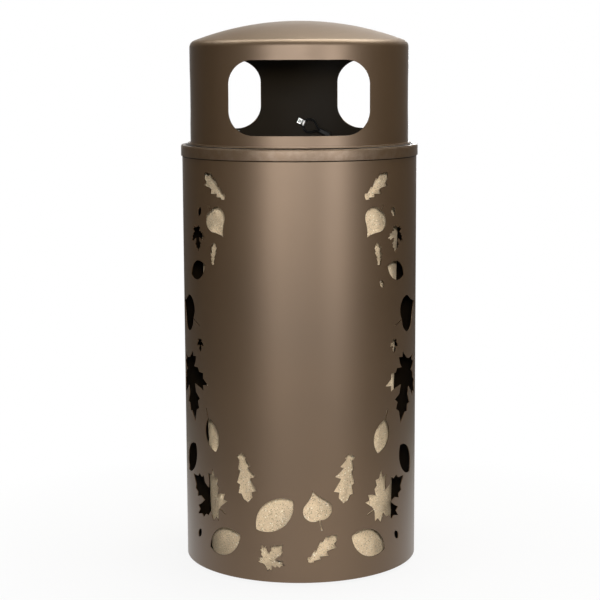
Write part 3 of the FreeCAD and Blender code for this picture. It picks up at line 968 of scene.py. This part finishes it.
def rolled_sheet(name: str, node: Thing, radius: float, sheet: float, inside: Finish) -> Thing:
    """Copy a rolled sheet, painted bronze outside and with another finish inside.

    Args:
        name: The new object's name.
        node: The CAD node's object.
        radius: The sheet's outer radius.
        sheet: Its thickness.
        inside: Finish of its inner face.

    Returns:
        The new object.
    """
    form = round_copy(node, (radius, radius - sheet))
    line_inside(form)
    thing = object_from(name, form, BRONZE, inside)
    true_normals(thing.data)
    return thing


def mark_rim(form: Form, heights: Sequence[float], reach: float) -> None:
    """Mark points close to the given heights as rubbed edges.

    Args:
        form: The bmesh to mark.
        heights: Heights of the edges.
        reach: How far from an edge a point still counts.
    """
    layer = form.verts.layers.float.new(RIM)
    for vert in form.verts:
        vert[layer] = float(any(abs(vert.co.z - height) < reach for height in heights))


class SetOut:
    """Geometry nodes that set copies of one master out on the points of a mesh."""

    SEED = 7

    def __init__(self) -> None:
        """Build the tree."""
        self.tree = bpy.data.node_groups.new("set_out_copies", "GeometryNodeTree")
        self.sockets: dict[str, str] = {}
        graph = Graph(self.tree)
        for name, kind in (
            ("Points", "NodeSocketGeometry"),
            ("Master", "NodeSocketObject"),
            ("Finish", "NodeSocketMaterial"),
            ("Twist", "NodeSocketFloat"),
        ):
            socket = self.tree.interface.new_socket(name, in_out="INPUT", socket_type=kind)
            self.sockets[name] = socket.identifier
        self.tree.interface.new_socket("Copies", in_out="OUTPUT", socket_type="NodeSocketGeometry")
        given = graph.add("NodeGroupInput").outputs
        master = graph.add(
            "GeometryNodeObjectInfo", {"Object": given["Master"]}, transform_space="ORIGINAL"
        )
        turn = graph.add(
            "GeometryNodeInputNamedAttribute", {"Name": "turn"}, data_type="FLOAT_VECTOR"
        )
        copies = graph.add(
            "GeometryNodeInstanceOnPoints",
            {
                "Points": given["Points"],
                "Instance": master.outputs["Geometry"],
                "Rotation": turn.outputs["Attribute"],
            },
        )
        chance = graph.add(
            "FunctionNodeRandomValue", {"Max": given["Twist"], "Seed": self.SEED}, data_type="FLOAT"
        )
        spin = graph.add("ShaderNodeCombineXYZ", {"Z": chance.outputs["Value"]})
        turned = graph.add(
            "GeometryNodeRotateInstances",
            {
                "Instances": copies.outputs["Instances"],
                "Rotation": spin.outputs[0],
                "Local Space": True,
            },
        )
        real = graph.add("GeometryNodeRealizeInstances", {"Geometry": turned.outputs["Instances"]})
        coated = graph.add(
            "GeometryNodeSetMaterial",
            {"Geometry": real.outputs["Geometry"], "Material": given["Finish"]},
        )
        graph.add("NodeGroupOutput", {0: coated.outputs["Geometry"]})

    def place(
        self,
        name: str,
        form: Form,
        spots: Sequence[tuple[Vector, Vector]],
        finish: Finish,
        twist: float = 0.0,
    ) -> Thing:
        """Set a master out on spots and turn the result into one plain mesh.

        Args:
            name: The new object's name.
            form: The master, with its axis along Z; it is freed.
            spots: Place and axis of each copy.
            finish: What the copies are made of.
            twist: Largest random turn about the axis, in radians.

        Returns:
            The new object.
        """
        master = object_from(name + "_master", form, finish)
        mesh = bpy.data.meshes.new(name + "_spots")
        mesh.from_pydata([place for place, _ in spots], [], [])
        turns = mesh.attributes.new("turn", "FLOAT_VECTOR", "POINT")
        for row, (_, axis) in zip(turns.data, spots):
            row.vector = axis.to_track_quat("Z", "Y").to_euler()
        source = add_object(name + "_source", mesh)
        modifier = source.modifiers.new("set_out", "NODES")
        modifier.node_group = self.tree
        modifier[self.sockets["Master"]] = master
        modifier[self.sockets["Finish"]] = PAINTS.get(finish)
        modifier[self.sockets["Twist"]] = twist
        thing = plain_copy(name, source)
        discard(source, master)
        return thing


@dataclass
class Can:
    """Standing part: leaf-cut shell, top band and pressed floor."""

    shell_radius: float = 0.235
    shell_sheet: float = 0.0015
    shell_top: float = 0.842
    band_height: float = 0.020
    band_radius: float = 0.2374
    band_ease: float = 0.0010
    rub_reach: float = 0.0012

    def build(self, nodes: Nodes) -> None:
        """Build and dress the standing part.

        Args:
            nodes: The CAD nodes by name.
        """
        node = nodes["outer_shell"]
        # the shell's inner face takes painted shade, a darker copy of the bronze
        shell = rolled_sheet(
            "leaf_cut_shell", node, self.shell_radius, self.shell_sheet, SHADED_INSIDE
        )
        Piece(shell, Body.CAN, "outer_shell", BRONZE.slot).settle()
        self.band()
        # the pan is made near black as painted shade
        dress(nodes["base_pan"], PAN_PAINTED_SHADE)

    def band(self) -> None:
        """The flat-bar hoop with eased corners."""
        low = self.shell_top - self.band_height
        corners = bar(self.shell_radius, self.band_radius, low, self.shell_top)
        form = lathe(rounded(corners, self.band_ease), TURN)
        mark_rim(form, (low, self.shell_top), self.rub_reach)
        thing = object_from("shell_top_band", form, BRONZE)
        Piece(thing, Body.CAN, "top_band", BRONZE.slot).settle()


@dataclass
class Feet:
    """Rubber feet with the screws, washers and nuts that hold them."""

    circle: float = 0.2075
    count: int = 4
    height: float = 0.011
    top_radius: float = 0.016
    base_radius: float = 0.013
    foot_ease: float = 0.0007
    recess_radius: float = 0.0075
    recess_depth: float = 0.005
    hole: float = 0.0033
    screw_radius: float = 0.003
    root_radius: float = 0.00264
    head_radius: float = 0.006
    head_height: float = 0.0033
    head_ease: float = 0.0008
    socket_radius: float = 0.0026
    socket_depth: float = 0.0018
    screw_end: float = 0.0216
    thread_start: float = 0.0125
    thread_pitch: float = 0.0007
    washer_low: float = 0.013
    washer_radius: float = 0.007
    washer_thickness: float = 0.0016
    washer_ease: float = 0.0003
    segments: int = 48

    def build(self, nodes: Nodes, setter: SetOut) -> None:
        """Build the feet and what holds them.

        Args:
            nodes: The CAD nodes by name.
            setter: Sets copies out.
        """
        spots = []
        for step in range(self.count):
            angle = math.tau * (step + 0.5) / self.count
            place = Vector((self.circle * math.cos(angle), self.circle * math.sin(angle), 0.0))
            spots.append((place, UP))
        for name, form, finish, node, twist in (
            ("rubber_foot_set", self.foot(), RUBBER, "rubber_feet", 0.0),
            ("foot_screw_set", self.screw(), ZINC, "foot_screws", math.tau),
            ("foot_washer_set", self.washer(), ZINC, "foot_washers", 0.0),
        ):
            thing = setter.place(name, form, spots, finish, twist)
            Piece(thing, Body.CAN, node, finish.slot).settle()
        dress(nodes["foot_nuts"], ZINC)

    def foot(self) -> Form:
        """One moulded foot with a recess for the screw's head.

        Returns:
            The foot, with its axis along Z.
        """
        corners = [
            (self.recess_radius, 0.0),
            (self.base_radius, 0.0),
            (self.top_radius, self.height),
            (self.hole, self.height),
            (self.hole, self.recess_depth),
            (self.recess_radius, self.recess_depth),
        ]
        return lathe(rounded(corners, self.foot_ease), self.segments)

    def screw(self) -> Form:
        """One pan-head screw with a socket and a thread.

        Returns:
            The screw, with its axis along Z.
        """
        low = self.recess_depth - self.head_height
        bottom, ease = low + self.socket_depth, self.head_ease
        corners = [(0.0, bottom), (self.socket_radius, bottom), (self.socket_radius, low)]
        corners += arc((self.head_radius - ease, low + ease), ease, -90.0, 0.0, steps=4)
        corners += [(self.head_radius, self.recess_depth), (self.screw_radius, self.recess_depth)]
        height = self.thread_start
        while height + self.thread_pitch < self.screw_end:
            corners += [(self.screw_radius, height)]
            corners += [(self.root_radius, height + self.thread_pitch / 2)]
            height += self.thread_pitch
        corners += [(self.root_radius, self.screw_end), (0.0, self.screw_end)]
        return lathe(corners, self.segments)

    def washer(self) -> Form:
        """One plain washer.

        Returns:
            The washer, with its axis along Z.
        """
        top = self.washer_low + self.washer_thickness
        corners = bar(self.hole, self.washer_radius, self.washer_low, top)
        return lathe(rounded(corners, self.washer_ease, steps=3), self.segments)


@dataclass
class Lid:
    """Lift-off lid: spun dome, wall with mouths, sloped ledge and spigot ring."""

    radius: float = 0.218
    sheet: float = 0.0015
    seat: float = 0.842
    wall_low: float = 0.848
    top: float = 1.087
    crown: float = 0.590
    crown_steps: int = 24
    shoulder: float = 0.015
    shoulder_steps: int = 12
    skirt: float = 0.008
    ledge_radius: float = 0.2365
    ledge_bend: float = 0.2285
    ledge_bead: float = 0.0022
    rub_reach: float = 0.0008
    spigot_radius: float = 0.2315
    spigot_sheet: float = 0.002
    spigot_depth: float = 0.030
    edge_ease: float = 0.0005

    def build(self, nodes: Nodes) -> None:
        """Build and dress the lid.

        Args:
            nodes: The CAD nodes by name.
        """
        self.dome()
        # the wall's inner face takes painted shade
        wall = rolled_sheet("mouth_wall", nodes["lid_wall"], self.radius, self.sheet, SHADED_LID_INSIDE)
        Piece(wall, Body.LID, "lid_wall", BRONZE.slot).settle()
        self.ledge()
        self.spigot()

    def dome(self) -> None:
        """The crown with its tight shoulder and short skirt."""
        centre = self.top - self.crown
        offset = self.radius - self.shoulder
        rise = math.sqrt((self.crown - self.shoulder) ** 2 - offset**2)
        lean = math.degrees(math.atan2(rise, offset))
        height = centre + rise
        foot = height - self.skirt
        turn = (offset, height)
        outside = arc((0.0, centre), self.crown, 90.0, lean, self.crown_steps)
        outside += arc(turn, self.shoulder, lean, 0.0, self.shoulder_steps)[1:]
        outside += [(self.radius, foot)]
        inside = [(self.radius - self.sheet, foot)]
        inside += arc(turn, self.shoulder - self.sheet, 0.0, lean, self.shoulder_steps)
        inside += arc((0.0, centre), self.crown - self.sheet, lean, 90.0, self.crown_steps)[1:]
        form = lathe(outside + inside, TURN)
        for face in form.faces:
            if face.normal.dot(face.calc_center_median() - centre * UP) < 0:
                face.material_index = INSIDE
        # the dome's inner faces take painted shade
        thing = object_from("domed_top", form, BRONZE, SHADED_LID_INSIDE)
        Piece(thing, Body.LID, "lid_dome", BRONZE.slot).settle()

    def ledge(self) -> None:
        """The sloped ring between the wall and the shell's edge, with a bead at the wall's foot."""
        bore = self.radius - self.sheet
        rise = self.wall_low - self.seat - self.sheet
        bead = self.radius + self.ledge_bead * (self.ledge_bend - self.radius) / rise
        corners = [
            (bore, self.seat + rise),
            (self.ledge_bend - self.sheet / 4, self.seat),
            (self.ledge_radius, self.seat),
            (self.ledge_radius, self.seat + self.sheet),
            (self.ledge_bend, self.seat + self.sheet),
            (bead, self.wall_low - self.ledge_bead),
            (bead, self.wall_low),
            (bore, self.wall_low),
        ]
        form = lathe(rounded(corners, self.edge_ease, steps=3), TURN)
        mark_rim(form, (self.seat + self.sheet,), self.rub_reach)
        thing = object_from("lid_ledge_ring", form, BRONZE)
        Piece(thing, Body.LID, "lid_ledge", BRONZE.slot).settle()

    def spigot(self) -> None:
        """The hoop that drops into the shell's mouth."""
        bore = self.spigot_radius - self.spigot_sheet
        corners = bar(bore, self.spigot_radius, self.seat - self.spigot_depth, self.seat)
        form = lathe(rounded(corners, self.edge_ease, steps=3), TURN)
        # the spigot takes painted shade, a darker copy of the bronze
        thing = object_from("lid_spigot", form, SHADED_INSIDE)
        Piece(thing, Body.LID, "lid_spigot_ring", BRONZE.slot).settle()


@dataclass
class Liner:
    """Lift-out tub of speckled plastic with a rolled rim and two hand holes."""

    seat: float = 0.007
    top: float = 0.817
    base_radius: float = 0.185
    top_radius: float = 0.200
    wall: float = 0.004
    corner: float = 0.010
    kick: float = 0.012
    ring: float = 0.014
    rim_height: float = 0.016
    rim_overhang: float = 0.004
    rim_round: float = 0.003
    rim_ease: float = 0.0015
    bore_chamfer: float = 0.0004
    grip_width: float = 0.110
    grip_height: float = 0.030
    grip_drop: float = 0.040
    grip_reach: float = 0.3
    sharp: float = 30.0
    segments: int = 192

    def build(self) -> None:
        """Build the tub and cut its hand holes."""
        blank = object_from("liner_blank", lathe(self.profile(), self.segments), SANDSTONE)
        cutter = object_from("liner_cutter", self.grip(), SANDSTONE)
        cutting = blank.modifiers.new("hand_holes", "BOOLEAN")
        cutting.operation = "DIFFERENCE"
        cutting.solver = "EXACT"
        cutting.object = cutter
        thing = plain_copy("liner_tub", blank)
        discard(blank, cutter)
        smooth(thing.data, self.sharp)
        Piece(thing, Body.LINER, "liner", SANDSTONE.slot).settle()

    def profile(self) -> list[Corner]:
        """The tub's closed outline, from the middle of its underside round to its floor.

        Returns:
            Its corners as radius and height.
        """
        under = self.top - self.rim_height
        draft = math.atan2(self.top_radius - self.base_radius, under - self.seat)
        heel = self.base_radius - self.corner * math.tan(math.pi / 4 - draft / 2)
        lean = -math.degrees(draft)
        rim = self.top_radius + self.rim_overhang
        bore = self.top_radius - self.wall / math.cos(draft) + self.rim_height * math.tan(draft)
        ring = heel - self.ring
        floor = self.seat + self.kick
        turn = (heel, self.seat + self.corner)
        crest = (rim - self.rim_round, self.top - self.rim_round)
        back, on = Vector((-self.rim_overhang, 0.0)), Vector((0.0, self.rim_height))
        corners = [(0.0, floor), (ring - self.kick, floor), (ring, self.seat)]
        corners += arc(turn, self.corner, -90.0, lean, steps=8)
        corners += [(self.top_radius, under)]
        corners += eased((rim, under), back, on, self.rim_ease)
        corners += arc(crest, self.rim_round, 0.0, 90.0, steps=6)
        corners += [
            (bore + self.rim_ease, self.top),
            (bore + self.bore_chamfer, self.top - self.bore_chamfer),
            (bore, self.top - self.rim_ease),
        ]
        corners += arc(turn, self.corner - self.wall, lean, -90.0, steps=6)
        corners += [
            (ring, self.seat + self.wall),
            (ring - self.kick, floor + self.wall),
            (0.0, floor + self.wall),
        ]
        return corners

    def grip(self) -> Form:
        """A long slot with round ends that cuts both hand holes.

        Returns:
            The cutter.
        """
        half = self.grip_height / 2
        middle = self.top - self.grip_drop - half
        reach = self.grip_width / 2 - half
        outline = arc((reach, middle), half, -90.0, 90.0, steps=14)
        outline += arc((-reach, middle), half, 90.0, 270.0, steps=14)
        form = bmesh.new()
        ends = []
        for x in (-self.grip_reach, self.grip_reach):
            ends.append([form.verts.new((x, y, z)) for y, z in outline])
            form.faces.new(ends[-1])
        bridge(form, *ends)
        bmesh.ops.recalc_face_normals(form, faces=form.faces)
        return form


@dataclass(frozen=True)
class Clip:
    """Where a tether's clip is riveted to a wall.

    The bearing is in degrees from the front, growing towards +X. The radius is that of the wall's
    inner face, the height that of the clip's eye, and the lean is in degrees from straight down.
    """

    end: str
    body: Body
    bearing: float
    radius: float
    height: float
    lean: float

    def rivet_spot(self, offset: float) -> tuple[Vector, Vector]:
        """Place and outward axis of the clip's rivet.

        Args:
            offset: Distance of the rivet from the clip's eye.

        Returns:
            The rivet's place on the wall and its axis.
        """
        around, tilt = math.radians(self.bearing), math.radians(self.lean)
        outward = Vector((math.sin(around), -math.cos(around), 0.0))
        down = -UP * math.cos(tilt) + outward.cross(UP) * math.sin(tilt)
        return outward * self.radius + UP * self.height - down * offset, outward


@dataclass
class Tether:
    """Cable that ties the lid to the shell, with its loops, ferrules, clips and rivets."""

    radius: float = 0.0025
    length: float = 0.3872
    clips: tuple[Clip, ...] = (
        Clip("lid", Body.LID, bearing=177.4, radius=0.2165, height=0.877, lean=65.0),
        Clip("shell", Body.CAN, bearing=204.0, radius=0.2335, height=0.770, lean=0.0),
    )
    rivet_offset: float = 0.009726
    clip_fold: float = 0.0024
    wall_sheet: float = 0.0015
    rivet_radius: float = 0.002
    rivet_segments: int = 24
    head_radius: float = 0.0038
    head_height: float = 0.0018
    head_steps: int = 6
    core_radius: float = 0.0013
    core_depth: float = 0.0014
    sides: int = 14
    route_steps: int = 10
    route: tuple[Spot, ...] = (
        (0.0639, 0.2005, 0.8486),
        (0.0853, 0.1964, 0.8386),
        (0.0983, 0.1895, 0.8120),
        (0.1020, 0.1910, 0.7800),
        (0.0955, 0.1958, 0.7440),
        (0.0797, 0.2032, 0.7090),
        (0.0543, 0.2114, 0.6790),
        (0.0209, 0.2170, 0.6580),
        (-0.0152, 0.2176, 0.6490),
        (-0.0479, 0.2126, 0.6510),
        (-0.0728, 0.2045, 0.6620),
        (-0.0860, 0.1996, 0.6866),
        (-0.0872, 0.2022, 0.7084),
    )

    def build(self, nodes: Nodes, setter: SetOut) -> None:
        """Build the cable and dress its fittings.

        Args:
            nodes: The CAD nodes by name.
            setter: Sets copies out.
        """
        self.cable()
        for clip in self.clips:
            dress(nodes[f"{clip.end}_cable_clip"], ZINC)
            dress(nodes[f"{clip.end}_tether_loop"], VINYL)
            dress(nodes[f"{clip.end}_tether_ferrule"], CRIMP_BLACK)
            spots = [clip.rivet_spot(self.rivet_offset)]
            rivet = setter.place(f"{clip.end}_set_rivet", self.rivet(), spots, ZINC)
            Piece(rivet, clip.body, f"{clip.end}_clip_rivet", ZINC.slot).settle()

    def cable(self) -> None:
        """The free stretch of cable, as a tube along its route.
        """
        line = self.centreline()
        thing = object_from("tether_line", tube(line, self.radius, self.sides), VINYL)
        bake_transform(thing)
        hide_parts("tether_cable")
        LOG.info("%s bends between %s and %s", thing.name, Body.CAN.value, Body.LID.value)

    def centreline(self) -> list[Vector]:
        """Points along the cable's route, close together.

        Returns:
            The points, from the lid to the shell.
        """
        data = bpy.data.curves.new("tether_route", "CURVE")
        data.dimensions = "3D"
        data.resolution_u = self.route_steps
        spline = data.splines.new("NURBS")
        spline.points.add(len(self.route) - 1)
        for point, place in zip(spline.points, self.route):
            point.co = (*place, 1.0)
        spline.order_u = 3
        spline.use_endpoint_u = True
        source = add_object("tether_route", data)
        drawn = plain_copy("tether_points", source)
        line = [vert.co.copy() for vert in drawn.data.vertices]
        discard(drawn, source)
        return line

    def head(self, face: float, rise: float) -> list[Corner]:
        """Corners of a rivet's domed head, from its crest to its edge.

        Args:
            face: Height of the face that it lies on.
            rise: Height of its crest above that face, negative for a head underneath.

        Returns:
            The corners.
        """
        angles = [math.radians(90.0 * step / self.head_steps) for step in range(self.head_steps + 1)]
        return [(self.head_radius * math.sin(a), face + rise * math.cos(a)) for a in angles]

    def rivet(self) -> Form:
        """One set rivet: a hollow domed head inside the wall and a plain one outside.

        Returns:
            The rivet, with its axis along Z.
        """
        inner, outer = -self.clip_fold, self.wall_sheet
        bottom = inner - self.head_height + self.core_depth
        lip, *dome = self.head(inner, -self.head_height)[2:]
        corners = [(0.0, bottom), (self.core_radius, bottom), (self.core_radius, lip[1]), *dome]
        corners += [(self.rivet_radius, inner), (self.rivet_radius, outer)]
        corners += reversed(self.head(outer, self.head_height))
        return lathe(corners, self.rivet_segments)


@dataclass(frozen=True)
class SoftBox:
    """One rectangular lamp, which can leave out what is matt or what gleams."""

    name: str
    place: Spot
    aim: Spot
    size: tuple[float, float]
    watts: float
    matt: bool = True
    gleam: bool = True
    tint: Spot = (1.0, 1.0, 1.0)

    def hang(self) -> None:
        """Put the lamp in the scene, out of the camera's sight."""
        data = bpy.data.lights.new(self.name, "AREA")
        data.shape = "RECTANGLE"
        data.size, data.size_y = self.size
        data.energy = self.watts
        data.color = self.tint
        turn = (Vector(self.aim) - Vector(self.place)).to_track_quat("-Z", "Y")
        thing = add_object(self.name, data)
        thing.matrix_world = Matrix.Translation(self.place) @ turn.to_matrix().to_4x4()
        thing.visible_camera = False
        thing.visible_diffuse = self.matt
        thing.visible_glossy = self.gleam


WARM: Spot = (1.0, 0.97, 0.86)  # tint of the lamps over the dome
LOW: Spot = (0.0, 0.0, 0.5)
MIDDLE: Spot = (0.0, 0.0, 0.6)
HIGH: Spot = (0.0, 0.0, 0.85)
LAMPS = (
    SoftBox("camera_box", (0.05, -3.40, 1.45), LOW, (0.6, 0.4), 60.0, matt=False),
    SoftBox("lens_box", (0.06, -3.45, 1.24), LOW, (0.25, 0.25), 84.0, gleam=False),
    SoftBox("right_key", (1.0, -2.75, 1.42), (0.0, 0.0, 0.8), (0.2, 0.2), 24.0, gleam=False),
    SoftBox("left_box", (-1.16, -2.80, 1.10), HIGH, (0.6, 1.2), 45.0, matt=False),
    SoftBox("right_box", (1.66, -2.52, 1.10), HIGH, (0.7, 1.2), 55.0, matt=False),
    SoftBox("left_fill", (-3.1, -1.2, 1.1), LOW, (0.8, 0.8), 30.0, gleam=False),
    SoftBox("right_fill", (3.1, -1.2, 1.1), LOW, (0.8, 0.8), 26.0, gleam=False),
    SoftBox("low_box", (0.0, -3.7, 0.5), (0.0, 0.0, 0.4), (2.6, 0.9), 4.6),
    SoftBox("top_box", (0.55, 0.2, 2.5), (0.1, 0.0, 1.0), (1.1, 1.6), 55.0, tint=WARM),
    SoftBox("top_left_box", (-0.65, 0.2, 2.5), (-0.1, 0.0, 1.0), (0.7, 1.6), 27.5, tint=WARM),
    SoftBox("back_box", (0.9, 2.4, 2.3), (0.0, 0.0, 1.0), (2.6, 1.6), 6.0),
    SoftBox("behind_box", (0.25, 3.4, 0.95), MIDDLE, (1.0, 0.8), 34.0),
    SoftBox("left_rim", (-1.9, 2.3, 1.0), MIDDLE, (1.2, 2.2), 1.0),
    SoftBox("right_rim", (1.9, 2.3, 1.0), MIDDLE, (1.2, 2.2), 0.8),
)


@dataclass
class Studio:
    """Pale floor, soft lamps and the camera at the photograph's angle."""

    lens: float = 97.298
    sensor: float = 36.0
    distance: float = 3.2701
    height: float = 1.0064
    pitch: float = 8.358
    roll: float = -0.245
    floor_radius: float = 9.0
    floor_steps: int = 96
    dim_light: float = 0.015
    backdrop_edge: tuple[float, float] = (0.90, 0.97)  # how squarely behind a gleam looks
    gleam_reach: tuple[float, float] = (0.4, 1.0)  # distances on the floor, in metres
    shadow_reach: tuple[float, float] = (0.2, 0.9)
    shadow_share: tuple[float, float] = (0.86, 1.0)  # shares of plain white
    tone_reach: tuple[float, float] = (0.4, 1.6)
    floor_tone: tuple[float, float] = (0.52, 0.15)  # greys

    def build(self) -> None:
        """Set up the whole studio."""
        scene = bpy.context.scene
        scene.view_settings.view_transform = "Standard"
        self.world(scene)
        self.floor()
        self.camera(scene)
        for lamp in LAMPS:
            lamp.hang()

    @staticmethod
    def plain(graph: Graph, mirrored: Socket) -> Socket:
        """Share of plain white: all for what is seen straight on, and some for gleams.

        Args:
            graph: The tree to work in.
            mirrored: Share for gleams.

        Returns:
            The share's socket.
        """
        rays = graph.add("ShaderNodeLightPath").outputs
        direct = graph.math("MAXIMUM", rays["Is Camera Ray"], rays["Is Transmission Ray"])
        gleams = graph.math("MULTIPLY", rays["Is Glossy Ray"], mirrored)
        return graph.math("MAXIMUM", direct, gleams)

    def world(self, scene: bpy.types.Scene) -> None:
        """Give the camera a white backdrop and the object a dim even light.

        Args:
            scene: The scene to light.
        """
        world = bpy.data.worlds.new("studio")
        scene.world = world
        world.use_nodes = True
        graph = Graph(world.node_tree)
        way = graph.add("ShaderNodeTexCoord").outputs["Generated"]
        behind = graph.add("ShaderNodeSeparateXYZ", {0: way}).outputs["Y"]
        seen = self.plain(graph, graph.span(behind, *self.backdrop_edge))
        dim = graph.add("ShaderNodeBackground", {"Color": WHITE, "Strength": self.dim_light})
        white = graph.add("ShaderNodeBackground", {"Color": WHITE, "Strength": 1.0})
        mix = graph.add("ShaderNodeMixShader", {0: seen, 1: dim.outputs[0], 2: white.outputs[0]})
        graph.add("ShaderNodeOutputWorld", {"Surface": mix.outputs[0]})

    def floor(self) -> None:
        """A pale round floor that fades into the white backdrop and keeps a soft shadow."""
        form = bmesh.new()
        bmesh.ops.create_circle(
            form, cap_ends=True, segments=self.floor_steps, radius=self.floor_radius
        )
        mesh = bpy.data.meshes.new("studio_floor")
        form.to_mesh(mesh)
        form.free()
        material, graph, place = new_material("pale_floor")
        far = graph.add("ShaderNodeVectorMath", {0: place}, operation="LENGTH").outputs["Value"]
        seen = self.plain(graph, graph.span(far, *self.gleam_reach, 1.0, 0.0))
        fade = graph.span(far, *self.shadow_reach, *self.shadow_share)
        share = graph.math("MULTIPLY", seen, fade)
        grey = graph.span(far, *self.tone_reach, *self.floor_tone)
        matt = graph.add("ShaderNodeBsdfDiffuse", {"Color": grey})
        white = graph.add("ShaderNodeEmission", {"Color": WHITE, "Strength": 1.0})
        mix = graph.add("ShaderNodeMixShader", {0: share, 1: matt.outputs[0], 2: white.outputs[0]})
        graph.add("ShaderNodeOutputMaterial", {"Surface": mix.outputs[0]})
        mesh.materials.append(material)
        add_object("studio_floor", mesh)

    def camera(self, scene: bpy.types.Scene) -> None:
        """The camera of the photograph.

        Args:
            scene: The scene that it looks at.
        """
        data = bpy.data.cameras.new("photo_camera")
        data.sensor_width = self.sensor
        data.lens = self.lens
        tilt = Matrix.Rotation(math.radians(90.0 - self.pitch), 4, "X")
        turn = Matrix.Rotation(math.radians(self.roll), 4, "Z")
        thing = add_object("photo_camera", data)
        thing.matrix_world = Matrix.Translation((0.0, -self.distance, self.height)) @ tilt @ turn
        scene.camera = thing


def main() -> None:
    """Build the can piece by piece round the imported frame."""
    logging.basicConfig(level=logging.INFO, format="%(name)s: %(message)s")
    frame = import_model()
    nodes = frame["nodes"]
    setter = SetOut()
    Studio().build()
    Can().build(nodes)
    Feet().build(nodes, setter)
    Liner().build()
    Lid().build(nodes)
    Tether().build(nodes, setter)


if __name__ == "__main__":
    main()
